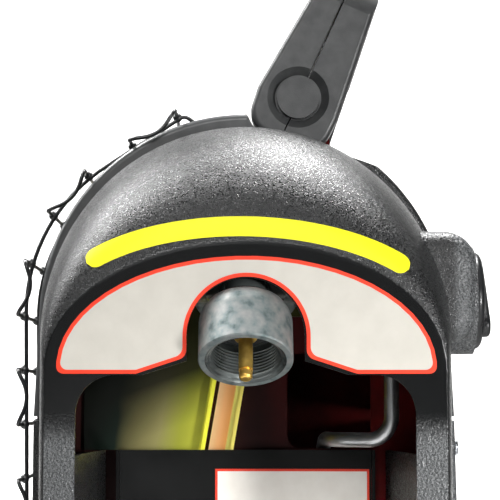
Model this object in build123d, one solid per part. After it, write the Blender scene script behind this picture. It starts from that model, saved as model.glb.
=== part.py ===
from build123d import *
import os
from math import cos, degrees, radians, sin, sqrt, tan

# Portable propane heater, in millimetres.
# +Z is up, -Y is the front with the wire guard, +X is the side that takes the gas cylinder.
# The origin is on the floor, at the middle of the footprint.

os.makedirs("parts", exist_ok=True)

# ---- base and footprint ----
base_length = 342.0
base_depth = 196.0
base_corner = 28.0
base_top_z = 21.0
base_rim_z = 2.0
base_draft = 10.0
foot_height = 4.0
foot_radius = 12.0
foot_x = 140.0
foot_y = 76.0
foot_stem_radius = 3.9
foot_stem_length = 7.0

# ---- body shell ----
wall = 2.5
body_half_length = 93.0
arch_centre_z = 235.0
hood_radius = 79.0
rear_radius = 77.7
flange_inner_radius = 72.0
seam_z = 197.0
seam_gap = 1.6
leg_flare = 1.8
front_flare = 0.8
rear_flare = 4.0
shell_edge_round = 2.4
hood_edge_y = 0.4
hood_edge_drop = 5.2
rear_edge_angle = 48.7
rear_edge_bevel = 8.1

# ---- burner window ----
window_half_width = 74.0
window_low_z = 112.0
window_high_z = 302.0
window_corner = 12.0

# ---- end caps ----
cap_depth = 65.0
cap_far_half = 74.3
cap_far_centre_z = 233.4
cap_near_half = 69.0
cap_lip_rise = 43.4
cap_lip_centre_z = 214.3
mouth_half_width = 58.5
mouth_top_z = 212.6
mouth_corner = 13.5
notch_radius = 20.4
notch_centre_z = 225.7
throat_half_width = 35.5
throat_rise = 4.7
recess_wall_top_z = 185.0
recess_wall_deep_y = 53.0
recess_wall_bow = 1.5

# ---- top deck and handle ----
deck_radius = 66.0
deck_wall = 1.5
handle_pivot_y = 20.3
handle_pivot_z = 320.7
handle_tilt = 24.3
arm_thickness = 10.0
arm_gap = 0.5
arm_front = 16.0
arm_rear = 17.4
arm_foot = 18.0
arm_foot_corner = 9.5
arm_heel_corner = 10.4
heel_clearance = 0.4
heel_draft = 0.6
arm_top_front = 11.4
arm_top_rear = 13.2
handle_shoulder = 43.0
handle_height = 57.0
grip_thickness = 19.0
handle_corner = 22.0
parting_offset = 0.5
parting_gap = 0.5
groove_width = 1.2
groove_depth = 0.9
pivot_bolt_radius = 4.0
hinge_clearance = 0.05
pivot_cap_radius = 8.2
pivot_recess_radius = 12.0

# ---- swinging inlet ----
swing_x = 138.0
swing_z = 253.6
swing_out = 32.4
barrel_radius = 15.0
barrel_half = 21.5
swing_pin_radius = 4.0
collar_radius = 16.35
collar_length = 15.5
collar_reach = 43.0
thread_radius = 12.3
thread_depth = 14.0
mouth_radius = 14.0
probe_radius = 2.45
probe_proud = 7.5
probe_free_length = 13.0
probe_root_radius = 2.2
neck_radius = 9.6
shoulder_radius = 11.5
shoulder_reach = 19.5
bonnet_radius = 19.0
bonnet_offset = 20.0

# ---- knob and valve ----
knob_x = 114.0
knob_z = 240.6
knob_radius = 17.9
knob_disc_y = 86.4
knob_face_y = 89.0
grip_turn = -49.0
grip_width = 8.5
knob_back_y = 82.0
well_radius = 18.5
well_wall = 1.4
well_floor_y = 78.0
well_rim_y = 83.5
hump_y = 83.4
hump_low_z = 224.0
hump_high_z = 264.7
hump_near_x = 137.0
hump_corner = 12.0
stem_radius = 3.5
stem_clearance = 0.05
cup_radius = 8.0
cup_back_y = 63.0
cup_length = 7.0
push_travel = 3.5
valve_radius = 12.0

# ---- guard ----
guard_wire = 1.6
guard_stand_off = 81.8
guard_front_off = 86.8
guard_slope = 33.3
guard_lean = 0.8
guard_bend_radius = 69.5
guard_top_y = -27.2
guard_half_length = 96.0
guard_pitch = 20.9
guard_loop_count = 6
guard_end_bow = 5.0
guard_end_bend = 3.2
guard_bow_bend = 13.0
guard_upright_x = 81.0
guard_upright_top_y = -24.0
weld_gap = 0.05

# ---- burner ----
tile_width = 116.6
tile_height = 102.6
tile_thickness = 13.0
tile_front_y = -33.5
tile_centre_z = 205.0
plenum_wall = 1.2
plenum_depth = 38.0
fit_gap = 0.5
reflector_front_y = -62.0
reflector_front_half = 80.0
reflector_low_z = 108.0
reflector_high_z = 275.0
sheet = 1.2
tube_radius = 2.8


def side_plane(x):
    """Sketch plane whose local axes are (Y, Z); extrusion runs along +X."""
    return Plane.YZ.offset(x)


def front_plane(y):
    """Sketch plane whose local axes are (X, Z); extrusion runs along -Y."""
    return Plane.XZ.offset(-y)


def polygon(points):
    """Flat face from a short list of corner points."""
    return make_face(Polyline(*points, close=True))


def arch(half, rise, centre_z, foot_z, flare=0.0):
    """Arch outline in (Y, Z): a half-ellipse on two straight legs."""
    crown = EllipticalCenterArc((0, centre_z), half, rise, start_angle=0, arc_size=180)
    left = Line((-half, centre_z), (-half - flare, foot_z))
    floor = Line((-half - flare, foot_z), (half + flare, foot_z))
    right = Line((half + flare, foot_z), (half, centre_z))
    return make_face(crown + left + floor + right)


def along_x(face, x_start, x_end):
    """Extrude a (Y, Z) face between two stations along X."""
    return extrude(side_plane(x_start) * face, x_end - x_start)


def along_y(face, y_front, y_back):
    """Extrude an (X, Z) face between two stations along Y."""
    return extrude(front_plane(y_back) * face, y_back - y_front)


def rod_x(radius, x_start, x_end, y, z):
    return along_x(Pos(y, z) * Circle(radius), x_start, x_end)


def rod_y(radius, y_start, y_end, x, z):
    return along_y(Pos(x, z) * Circle(radius), y_start, y_end)


def rod_z(radius, z_start, z_end, x, y):
    return extrude(Plane.XY.offset(z_start) * Pos(x, y) * Circle(radius), z_end - z_start)


def block(x_low, x_high, y_low, y_high, z_low, z_high):
    """Axis-aligned block between two corners."""
    face = Pos((x_low + x_high) / 2, (y_low + y_high) / 2) * Rectangle(x_high - x_low, y_high - y_low)
    return extrude(Plane.XY.offset(z_low) * face, z_high - z_low)


def tube(points, radius, bends):
    """Round rod swept along straight runs that are joined by tangent bends."""
    path = FilletPolyline(*points, radius=bends)
    return sweep((path ^ 0) * Circle(radius), path)


def on_arc(radius, angle):
    """Point in (Y, Z) at an angle above the -Y axis, about the arch centre."""
    return (-radius * cos(radians(angle)), arch_centre_z + radius * sin(radians(angle)))


def save(shape, name):
    export_step(shape, f"parts/{name}.step")


# ---------------------------------------------------------------- base

def base_tray():
    height = base_top_z - base_rim_z
    outer = extrude(
        Plane.XY.offset(base_rim_z) * RectangleRounded(base_length, base_depth, base_corner),
        height,
        taper=base_draft,
    )
    outer = fillet(outer.faces().sort_by(Axis.Z)[-1].edges(), 4.0)
    hollow = extrude(
        Plane.XY.offset(base_rim_z)
        * RectangleRounded(base_length - 2 * wall, base_depth - 2 * wall, base_corner - wall),
        height - wall,
        taper=base_draft,
    )
    tray = outer - hollow
    roof = base_top_z - wall
    rib_low = roof - 9.0
    inner_half_y = base_depth / 2 - wall - height * tan(radians(base_draft))
    inner_half_x = base_length / 2 - wall - height * tan(radians(base_draft))
    for x in (-70.0, 0.0, 70.0):
        tray += block(x - 1, x + 1, -inner_half_y, inner_half_y, rib_low, roof + 0.5)
    for y in (-32.0, 32.0):
        tray += block(-inner_half_x, inner_half_x, y - 1, y + 1, rib_low, roof + 0.5)
    for x in (-foot_x, foot_x):
        for y in (-foot_y, foot_y):
            tray += rod_z(foot_radius, foot_height, roof + 0.5, x, y)
            tray -= rod_z(foot_stem_radius + 0.1, foot_height, foot_height + foot_stem_length + 0.5, x, y)
    return tray


def rubber_feet():
    feet = []
    for x in (-foot_x, foot_x):
        for y in (-foot_y, foot_y):
            pad = rod_z(foot_radius, 0, foot_height, x, y)
            pad = chamfer(pad.faces().sort_by(Axis.Z)[0].edges(), 1.0)
            feet.append(pad + rod_z(foot_stem_radius, foot_height, foot_height + foot_stem_length, x, y))
    return Compound(children=[foot.solid() for foot in feet])


# ---------------------------------------------------------------- end caps

cap_near_x = body_half_length + cap_depth


def cap_section(share, inset, foot_z):
    """Section of the domed cap: share is 0 at the seam and 1 at the face wall."""
    bulge = sqrt(1 - share * share)
    half = cap_near_half + (cap_far_half - cap_near_half) * bulge - inset
    centre = cap_lip_centre_z + (cap_far_centre_z - cap_lip_centre_z) * bulge
    lip_top = cap_lip_centre_z + cap_lip_rise
    far_top = cap_far_centre_z + cap_far_half
    top = lip_top + (far_top - lip_top) * bulge - inset
    return arch(half, top - centre, centre, foot_z)


def cap_form(inset, foot_z):
    """Solid of the domed cap, set in by a wall thickness."""
    shares = (0.0, 0.28, 0.52, 0.72, 0.86, 0.95, 1.0)
    length = cap_depth - inset
    sections = [
        side_plane(body_half_length + length * share) * cap_section(share, inset, foot_z)
        for share in shares
    ]
    return loft(sections)


def cap_hollow():
    sleeve = along_x(cap_section(0.0, wall, base_top_z - 1), body_half_length - 1, body_half_length)
    return cap_form(wall, base_top_z - 1) + sleeve


def hump_block(inset):
    """Rounded blister on the back of the cap, in front of the knob well."""
    width = hump_y - 50.0
    height = hump_high_z - hump_low_z - 2 * inset
    centre = (50.0 + width / 2 - inset, (hump_low_z + hump_high_z) / 2)
    face = Pos(*centre) * RectangleRounded(width, height, hump_corner - inset)
    solid = along_x(face, body_half_length - (1 if inset else 0), hump_near_x - inset)
    near_edges = solid.faces().sort_by(Axis.X)[-1].edges()
    return fillet(near_edges, 7.0 - inset)


def tank_side_cap():
    outer = cap_form(0.0, base_top_z) + hump_block(0.0)
    outer += rod_y(well_radius + well_wall, 60.0, well_rim_y, knob_x, knob_z)
    inner = cap_hollow() + hump_block(wall)
    cap = outer - inner
    cap += rod_y(well_radius + well_wall, 70.0, well_rim_y, knob_x, knob_z)
    cap -= rod_y(well_radius + well_wall - wall, 55.0, well_floor_y - wall, knob_x, knob_z)
    cap -= rod_y(well_radius, well_floor_y, well_rim_y + 10, knob_x, knob_z)
    cap -= rod_y(stem_radius + 0.8, well_floor_y - 10, well_rim_y, knob_x, knob_z)
    # mouth of the cylinder recess, with the notch above it
    mouth_height = mouth_top_z - base_top_z + 40
    mouth = Pos(0, mouth_top_z - mouth_height / 2) * RectangleRounded(
        2 * mouth_half_width, mouth_height, mouth_corner
    )
    notch = Pos(0, notch_centre_z) * Circle(notch_radius)
    notch += Pos(0, notch_centre_z - notch_radius) * Rectangle(2 * notch_radius, 2 * notch_radius)
    throat = polygon(
        [
            (-throat_half_width, mouth_top_z - 2),
            (-throat_half_width, mouth_top_z),
            (-notch_radius, mouth_top_z + throat_rise),
            (notch_radius, mouth_top_z + throat_rise),
            (throat_half_width, mouth_top_z),
            (throat_half_width, mouth_top_z - 2),
        ]
    )
    cap -= along_x(mouth + throat + notch, cap_near_x - 2 * wall, cap_near_x + 5)
    # side walls of the recess
    near_x = cap_near_x - wall + 0.5
    for side in (-1, 1):
        near = (near_x, side * mouth_half_width)
        deep = (body_half_length, side * recess_wall_deep_y)
        middle_y = side * ((mouth_half_width + recess_wall_deep_y) / 2 + recess_wall_bow)
        middle = ((near_x + body_half_length) / 2, middle_y)
        step = side * 2.0
        inner_edge = ThreePointArc(near, middle, deep)
        outer_edge = ThreePointArc(
            (near[0], near[1] + step), (middle[0], middle[1] + step), (deep[0], deep[1] + step)
        )
        ends = Line(near, outer_edge @ 0) + Line(deep, outer_edge @ 1)
        leaf = make_face(inner_edge + outer_edge + ends)
        cap += extrude(Plane.XY.offset(base_top_z) * leaf, recess_wall_top_z - base_top_z)
    return cap


def plain_side_cap():
    cap = cap_form(0.0, base_top_z) - cap_hollow()
    # moulded step that frames the closed face
    frame = arch(50.0, 26.0, 200.0, 52.0) - arch(47.5, 23.5, 200.0, 54.5)
    cap -= along_x(frame, cap_near_x - 1.0, cap_near_x + 1)
    for row in range(8):
        slot = Pos(0, 70.0 + 12.0 * row) * SlotOverall(70.0, 4.0)
        cap -= along_x(slot, cap_near_x - 2 * wall, cap_near_x + 1)
    return mirror(cap, about=Plane.YZ)


# ---------------------------------------------------------------- covers

def shell_ring(outer_radius, inner_radius, flare):
    """Half-tube ring with straight legs, in (Y, Z), from the seam up."""
    low = seam_z
    return arch(outer_radius, outer_radius, arch_centre_z, low, flare) - arch(
        inner_radius, inner_radius, arch_centre_z, low - 1, 0.0
    )


def with_end_flanges(skin_outer, hollow, keep):
    """Cover with thin skin, closed at both ends by narrow flanges."""
    body = along_x(skin_outer & keep, -body_half_length, body_half_length)
    ends = body.faces().filter_by(Axis.X)
    edges = []
    for edge in ends.edges():
        place = edge.center()
        off_axis = sqrt(place.Y**2 + (place.Z - arch_centre_z) ** 2)
        if edge.length > 12 and off_axis > flange_inner_radius + 4.3:
            edges.append(edge)
    body = fillet(edges, shell_edge_round)
    return body - along_x(hollow, -body_half_length + wall, body_half_length - wall)


def front_hood():
    ring = shell_ring(hood_radius, flange_inner_radius, leg_flare)
    keep = Pos(hood_edge_y - 100, 300) * Rectangle(200, 400)
    outer_edge = (hood_edge_y, arch_centre_z + hood_radius)
    lip_low_z = outer_edge[1] - hood_edge_drop
    lip = polygon(
        [
            (hood_edge_y - 4, arch_centre_z + hood_radius - 1),
            (hood_edge_y - 0.05, arch_centre_z + hood_radius - 0.05),
            (hood_edge_y + 3.4, lip_low_z),
            (hood_edge_y - 0.4, lip_low_z),
        ]
    )
    hollow = arch(hood_radius - wall, hood_radius - wall, arch_centre_z, seam_z - 5, leg_flare)
    hollow &= Pos(hood_edge_y - 100, 300) * Rectangle(200 - 4.0, 400)
    hood = with_end_flanges(ring, hollow - lip, keep)
    hood += along_x(lip, -body_half_length + 1, body_half_length - 1)
    hood -= block(-200, 200, -200, 200, seam_z - 10, seam_z + seam_gap / 2)
    window_height = window_high_z - window_low_z
    window = Pos(0, (window_high_z + window_low_z) / 2) * RectangleRounded(
        2 * window_half_width, window_height, window_corner
    )
    hood -= along_y(window, -120, -20)
    # room in the lip for the heels of the handle to swing past
    heel_y = arm_rear - heel_draft - arm_heel_corner
    heel_reach = sqrt(heel_y**2 + (arm_foot - arm_heel_corner) ** 2) + arm_heel_corner
    for side in (-1, 1):
        span = sorted((side * (arm_inner_x - arm_gap), side * (body_half_length + 1)))
        hood -= rod_x(heel_reach + heel_clearance, *span, handle_pivot_y, handle_pivot_z)
    return hood


def front_panel():
    low, high = base_top_z, seam_z - seam_gap / 2
    top_y = hood_radius + leg_flare
    outline = [
        (-top_y, high),
        (-top_y - front_flare, low),
        (-flange_inner_radius, low),
        (-flange_inner_radius, high),
    ]
    skin = along_x(polygon(outline), -body_half_length, body_half_length)
    front_ends = skin.edges().filter_by(Axis.X, reverse=True).filter_by(lambda e: e.center().Y < -top_y)
    skin = fillet(front_ends, shell_edge_round)
    hollow = polygon(
        [
            (-top_y + wall, high + 1),
            (-top_y - front_flare + wall, low - 1),
            (-60, low - 1),
            (-60, high + 1),
        ]
    )
    skin -= along_x(hollow, -body_half_length + wall, body_half_length - wall)
    window_height = window_high_z - window_low_z
    window = Pos(0, (window_high_z + window_low_z) / 2) * RectangleRounded(
        2 * window_half_width, window_height, window_corner
    )
    return skin - along_y(window, -120, -50)


def rear_cover():
    ring = shell_ring(rear_radius, flange_inner_radius, leg_flare)
    angle = radians(rear_edge_angle)
    bevel_angle = radians(rear_edge_angle + rear_edge_bevel)
    crest = (rear_radius * cos(angle), arch_centre_z + rear_radius * sin(angle))
    foot_radius_at_edge = rear_radius - 3.5
    foot = (
        foot_radius_at_edge * cos(bevel_angle),
        arch_centre_z + foot_radius_at_edge * sin(bevel_angle),
    )
    bevel = (foot[0] - crest[0], foot[1] - crest[1])
    outer_point = (crest[0] - bevel[0], crest[1] - bevel[1])
    keep = polygon([outer_point, foot, (0, arch_centre_z), (0, 180), (200, 180), (200, outer_point[1])])
    hollow = arch(rear_radius - wall, rear_radius - wall, arch_centre_z, seam_z - 5, leg_flare)
    inset = 2.5
    inset_keep = polygon(
        [
            (outer_point[0], outer_point[1] - inset),
            (foot[0], foot[1] - inset),
            (0, arch_centre_z - inset),
            (0, 170),
            (200, 170),
            (200, outer_point[1] - inset),
        ]
    )
    cover = with_end_flanges(ring, hollow & inset_keep, keep)
    return cover - block(-200, 200, -200, 200, seam_z - 10, seam_z + seam_gap / 2)


def rear_panel():
    low, high = base_top_z, seam_z - seam_gap / 2
    top_y = rear_radius + leg_flare
    outline = [
        (top_y, high),
        (top_y + rear_flare, low),
        (flange_inner_radius, low),
        (flange_inner_radius, high),
    ]
    skin = along_x(polygon(outline), -body_half_length, body_half_length)
    rear_ends = skin.edges().filter_by(Axis.X, reverse=True).filter_by(lambda e: e.center().Y > top_y)
    skin = fillet(rear_ends, shell_edge_round)
    hollow = polygon(
        [
            (top_y - wall, high + 1),
            (top_y + rear_flare - wall, low - 1),
            (60, low - 1),
            (60, high + 1),
        ]
    )
    skin -= along_x(hollow, -body_half_length + wall, body_half_length - wall)
    for row in range(9):
        for x in (-42.0, 42.0):
            slot = Pos(x, 70.0 + 12.0 * row) * SlotOverall(60.0, 4.5)
            skin -= along_y(slot, 60, 120)
    return skin


lug_inner_x = body_half_length - arm_thickness - arm_gap - 12.0
lug_outer_x = body_half_length - arm_thickness - 1.5 - arm_gap
arm_outer_x = body_half_length - 1.5
arm_inner_x = arm_outer_x - arm_thickness


def top_cover():
    deck = arch(deck_radius, deck_radius, arch_centre_z, seam_z) - arch(
        deck_radius - deck_wall, deck_radius - deck_wall, arch_centre_z, seam_z - 1
    )
    reach = 90.0
    keep = polygon(
        [
            (0, arch_centre_z),
            (reach * cos(radians(40)), arch_centre_z + reach * sin(radians(40))),
            (reach * cos(radians(70)), arch_centre_z + reach),
            (reach * cos(radians(102)), arch_centre_z + reach * sin(radians(102))),
        ]
    )
    cover = along_x(deck & keep, -body_half_length + wall, body_half_length - wall)
    for row in range(4):
        slot_y = 12.0 + 7.0 * row
        slot = Pos(0, slot_y) * SlotOverall(104.0, 3.6)
        cover -= extrude(Plane.XY.offset(arch_centre_z + 40) * slot, 40)
    lug_foot_z = arch_centre_z + deck_radius - 8
    lug = Pos(handle_pivot_y, handle_pivot_z) * Circle(10.5)
    lug += polygon(
        [
            (handle_pivot_y - 10.4, handle_pivot_z + 1),
            (handle_pivot_y + 10.4, handle_pivot_z + 1),
            (handle_pivot_y + 14, lug_foot_z),
            (handle_pivot_y - 14, lug_foot_z),
        ]
    )
    lug -= arch(deck_radius - 0.4, deck_radius - 0.4, arch_centre_z, seam_z)
    lug -= Pos(handle_pivot_y, handle_pivot_z) * Circle(pivot_bolt_radius + hinge_clearance)
    for x in (-lug_outer_x, lug_inner_x):
        cover += along_x(lug, x, x + lug_outer_x - lug_inner_x)
    return cover


# ---------------------------------------------------------------- inner frame

frame_half = body_half_length - 10.0


def chassis():
    arch_half = flange_inner_radius + 2.5
    outline = arch(arch_half, arch_half, arch_centre_z, base_top_z)
    reach = 120.0
    trough = polygon(
        [
            (0, arch_centre_z),
            (reach * cos(radians(38)), arch_centre_z + reach * sin(radians(38))),
            (reach * cos(radians(104)), arch_centre_z + reach * sin(radians(104))),
        ]
    )
    trough -= arch(deck_radius - deck_wall - 0.2, deck_radius - deck_wall - 0.2, arch_centre_z, seam_z)
    outline -= trough
    inner_plate = along_x(outline, -frame_half - sheet, -frame_half)
    service = Pos(32.0, 203.7) * RectangleRounded(32.0, 36.4, 5.0)
    tank_plate = along_x(outline - service, frame_half, frame_half + sheet)
    floor = block(-frame_half, frame_half, -arch_half + 1, arch_half - 1, base_top_z, base_top_z + sheet)
    return inner_plate + floor + tank_plate


def recess_panel():
    """Back of the cylinder recess: a bowed sheet with folded side edges."""
    half = recess_wall_deep_y - 4.0
    deep_x = frame_half + sheet + 1.7
    bow = 3.0
    back = ThreePointArc((deep_x + bow, -half), (deep_x, 0), (deep_x + bow, half))
    front = ThreePointArc((deep_x + bow + sheet, -half), (deep_x + sheet, 0), (deep_x + bow + sheet, half))
    sheet_face = make_face(back + front + Line(back @ 0, front @ 0) + Line(back @ 1, front @ 1))
    panel = extrude(Plane.XY.offset(base_top_z) * sheet_face, recess_wall_top_z - base_top_z)
    for side in (-1, 1):
        low_y, high_y = sorted((side * half, side * (half - 1.3)))
        panel += block(deep_x + bow, deep_x + bow + 5, low_y, high_y, base_top_z, recess_wall_top_z)
    return panel


def regulator_bracket():
    """Folded plate on the chassis, with two ears that hold the swivel pin."""
    back_x = frame_half + sheet
    plate = polygon(
        [
            (-62.0, 236.0),
            (-62.0, recess_wall_top_z),
            (4 - recess_wall_deep_y, recess_wall_top_z),
            (4 - recess_wall_deep_y, recess_wall_top_z - 5),
            (-16.6, recess_wall_top_z - 5),
            (-9.4, 222.0),
            (-9.4, 236.0),
        ]
    )
    top = polygon([(-24.0, 236.0), (24.0, 236.0), (24.0, 270.0), (-24.0, 270.0)])
    bracket = along_x(plate + top, back_x, back_x + 1.5)
    fold = polygon([(-18.1, 179.9), (-16.6, 179.9), (-9.4, 222.0), (-10.9, 222.0)])
    fold &= Pos(-14, recess_wall_top_z + 50.3) * Rectangle(20, 100)
    bracket += along_x(fold, back_x, back_x + 6.0)
    ear = Pos(swing_x, swing_z) * Circle(9.0)
    ear += polygon([(back_x, 238.0), (swing_x, swing_z - 9), (swing_x, swing_z + 9), (back_x, 270.0)])
    ear -= Pos(swing_x, swing_z) * Circle(swing_pin_radius + 0.1)
    bracket += along_y(ear, barrel_half + 0.5, barrel_half + 2.5)
    bracket += along_y(ear, -barrel_half - 2.5, -barrel_half - 0.5)
    return bracket


def bracket_strap():
    back_x = frame_half + sheet
    face = polygon([(-15.2, 180.0), (-5.6, 180.0), (0.6, 216.0), (-9.0, 216.0)])
    strap = along_x(face, back_x, back_x + 1.2)
    fold = polygon([(-6.8, 180.0), (-5.6, 180.0), (0.6, 216.0), (-0.6, 216.0)])
    fold &= Pos(-3, recess_wall_top_z + 50.3) * Rectangle(20, 100)
    return strap + along_x(fold, back_x, back_x + 3.6)


def swing_pivot_pin():
    ear_face = barrel_half + 2.5
    pin = rod_y(swing_pin_radius, -ear_face - 3, ear_face + 5, swing_x, swing_z)
    pin += rod_y(7.0, -ear_face - 3, -ear_face, swing_x, swing_z)
    nut = Pos(swing_x, swing_z) * RegularPolygon(6.5, 6)
    return pin + along_y(nut, ear_face, ear_face + 5)


# ---------------------------------------------------------------- burner

def reflector():
    half_tile_x = tile_width / 2 - 3
    half_tile_z = tile_height / 2 - 3
    front_face = Pos(0, (reflector_low_z + reflector_high_z) / 2) * RectangleRounded(
        2 * reflector_front_half, reflector_high_z - reflector_low_z, 14
    )
    back_y = tile_front_y - 2.9
    back_face = Pos(0, tile_centre_z) * RectangleRounded(2 * half_tile_x, 2 * half_tile_z, 6)
    outer = loft([front_plane(reflector_front_y) * front_face, front_plane(back_y) * back_face])
    front_inner = Pos(0, (reflector_low_z + reflector_high_z) / 2) * RectangleRounded(
        2 * reflector_front_half - 2.4, reflector_high_z - reflector_low_z - 2.4, 12.8
    )
    back_inner = Pos(0, tile_centre_z) * RectangleRounded(2 * half_tile_x - 2.4, 2 * half_tile_z - 2.4, 4.8)
    inner = loft([front_plane(reflector_front_y) * front_inner, front_plane(back_y) * back_inner])
    flange_low = reflector_low_z - 12
    flange_half = frame_half - fit_gap
    flange = Pos(0, (flange_low + reflector_high_z + 8) / 2) * Rectangle(
        2 * flange_half, reflector_high_z + 8 - flange_low
    )
    hole_high = reflector_high_z - 1.2
    hole_low = reflector_low_z + 1.2
    flange -= Pos(0, (hole_low + hole_high) / 2) * RectangleRounded(
        2 * reflector_front_half - 2.4, hole_high - hole_low, 12.8
    )
    rim = along_y(flange, reflector_front_y - 1.0, reflector_front_y)
    rim &= along_x(arch(75.6, 75.6, arch_centre_z, base_top_z), -frame_half, frame_half)
    # visor that follows the hood, above the window
    visor = arch(75.4, 75.4, arch_centre_z, base_top_z) - arch(74.2, 74.2, arch_centre_z, base_top_z - 1)
    reach = 120.0
    visor &= polygon(
        [
            (0, arch_centre_z),
            (-reach * cos(radians(34.5)), arch_centre_z + reach * sin(radians(34.5))),
            (-reach * cos(radians(50)), arch_centre_z + reach * sin(radians(50))),
            (-reach * cos(radians(71)), arch_centre_z + reach * sin(radians(71))),
        ]
    )
    pan = (outer - inner) + rim + along_x(visor, -reflector_front_half + 2, reflector_front_half - 2)
    return pan - rod_z(3.0, 100, 145, pilot_x, pilot_y)


def burner_plenum():
    outer_width = tile_width + 2 * fit_gap + 2 * plenum_wall
    outer_height = tile_height + 2 * fit_gap + 2 * plenum_wall
    back_y = tile_front_y + plenum_depth
    centre = Pos(0, tile_centre_z)
    outer = along_y(centre * RectangleRounded(outer_width, outer_height, 8), tile_front_y, back_y)
    outer = fillet(outer.faces().sort_by(Axis.Y)[-1].edges(), 5.0)
    inner_face = centre * RectangleRounded(outer_width - 2 * plenum_wall, outer_height - 2 * plenum_wall, 6.8)
    inner = along_y(inner_face, tile_front_y - 1, back_y - plenum_wall)
    inner = fillet(inner.faces().sort_by(Axis.Y)[-1].edges(), 3.8)
    box = outer - inner
    return box - rod_z(venturi_radius - 1.2, 140, 160, venturi_elbow_x, venturi_y)


def ceramic_tile():
    face = Pos(0, tile_centre_z) * RectangleRounded(tile_width, tile_height, 6.3)
    return along_y(face, tile_front_y, tile_front_y + tile_thickness)


def tile_frame():
    outer = Pos(0, tile_centre_z) * RectangleRounded(tile_width + 5, tile_height + 5, 8)
    inner = Pos(0, tile_centre_z) * RectangleRounded(tile_width - 8, tile_height - 8, 5)
    return along_y(outer - inner, tile_front_y - 2.6, tile_front_y - 0.1)


venturi_y = -12.0
venturi_z = 128.0
venturi_radius = 9.0
venturi_elbow_x = -34.0
venturi_mouth_x = 60.0


def venturi_tube():
    plenum_low = tile_centre_z - tile_height / 2 - fit_gap - plenum_wall
    points = [
        (venturi_mouth_x, venturi_y, venturi_z),
        (venturi_elbow_x, venturi_y, venturi_z),
        (venturi_elbow_x, venturi_y, plenum_low),
    ]
    outer = tube(points, venturi_radius, [16])
    inner = tube(points, venturi_radius - 1.2, [16])
    bell_face = make_face(
        Polyline(
            (venturi_radius - 1.2, 0),
            (venturi_radius, 0),
            (venturi_radius + 4.5, 9),
            (venturi_radius + 3.3, 9),
            close=True,
        )
    )
    bell = revolve(Plane.XZ * bell_face, Axis.Z)
    bell = Pos(venturi_mouth_x, venturi_y, venturi_z) * Rot(0, 90, 0) * bell
    return (outer - inner) + bell


injector_x = 76.0


def injector():
    body = rod_x(5.0, injector_x - 6, injector_x + 6, venturi_y, venturi_z)
    hexagon = Pos(venturi_y, venturi_z) * RegularPolygon(6.4, 6)
    body += along_x(hexagon, injector_x + 1, frame_half)
    jet = Plane((injector_x - 6, venturi_y, venturi_z), z_dir=(-1, 0, 0))
    body += loft([jet * Circle(3.6), jet.offset(7) * Circle(1.8)])
    body += rod_z(4.4, venturi_z, venturi_z + 10, injector_x, venturi_y)
    return body


pilot_x = 44.0
pilot_y = -50.0
pilot_shelf_z = 149.0
probe_spacing = 7.6


def reflector_floor_z(y):
    """Height of the sloping floor of the reflector pan at a depth y."""
    back_y = tile_front_y - 2.9
    back_z = tile_centre_z - tile_height / 2 + 3 + 1.2
    front_z = reflector_low_z + 1.2
    share = (y - reflector_front_y) / (back_y - reflector_front_y)
    return front_z + (back_z - front_z) * share


def pilot_bracket():
    foot_front, foot_back = pilot_y - 6, pilot_y + 6
    leg = polygon(
        [
            (foot_front, reflector_floor_z(foot_front) + 0.3),
            (foot_back, reflector_floor_z(foot_back) + 0.3),
            (foot_back, pilot_shelf_z),
            (foot_front, pilot_shelf_z),
        ]
    )
    leg_x = pilot_x - 13
    bracket = along_x(leg, leg_x, leg_x + sheet)
    shelf = block(leg_x, pilot_x + 11, foot_front, foot_back, pilot_shelf_z - sheet, pilot_shelf_z)
    bracket += shelf
    bracket -= rod_z(3.7, 140, 160, pilot_x, pilot_y)
    bracket -= rod_z(1.75, 140, 160, pilot_x - probe_spacing, pilot_y)
    return bracket - rod_z(2.2, 140, 160, pilot_x + probe_spacing, pilot_y)


def pilot_burner():
    body = rod_z(3.6, pilot_shelf_z - 8, pilot_shelf_z, pilot_x, pilot_y)
    body += rod_z(4.6, pilot_shelf_z, pilot_shelf_z + 5, pilot_x, pilot_y)
    body += rod_z(3.2, pilot_shelf_z + 5, pilot_shelf_z + 10, pilot_x, pilot_y)
    return body


def thermocouple():
    rod = rod_z(1.6, pilot_shelf_z - 8, pilot_shelf_z + 14, pilot_x - probe_spacing, pilot_y)
    rod += rod_z(2.6, pilot_shelf_z, pilot_shelf_z + 4, pilot_x - probe_spacing, pilot_y)
    return rod


def spark_electrode():
    x, y = pilot_x + probe_spacing, pilot_y
    rod = rod_z(2.1, pilot_shelf_z - 10, pilot_shelf_z, x, y)
    rod += rod_z(2.1, pilot_shelf_z, pilot_shelf_z + 7, x, y)
    rod += rod_z(0.7, pilot_shelf_z + 7, pilot_shelf_z + 14, x, y)
    return rod


def pilot_tube():
    return tube(
        [
            (knob_x + 4, 41.8, 236.0),
            (knob_x + 4, 34.0, 236.0),
            (frame_half + 9, 35.0, 218.0),
            (68.0, 54.0, 216.0),
            (68.0, 54.0, 106.0),
            (pilot_x, pilot_y, 105.0),
            (pilot_x, pilot_y, pilot_shelf_z - 8),
        ],
        1.5,
        [3.5, 7, 8, 10, 9],
    )


def burner_supply_tube():
    return tube(
        [
            (knob_x - 4, 54.0, 222.0),
            (knob_x - 4, 54.0, 189.2),
            (knob_x - 14, 33.0, 189.2),
            (injector_x, 30.0, 189.2),
            (injector_x, 30.0, 152.0),
            (injector_x, venturi_y, 152.0),
            (injector_x, venturi_y, venturi_z + 10),
        ],
        tube_radius,
        [9, 9, 8, 9, 8],
    )


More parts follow.
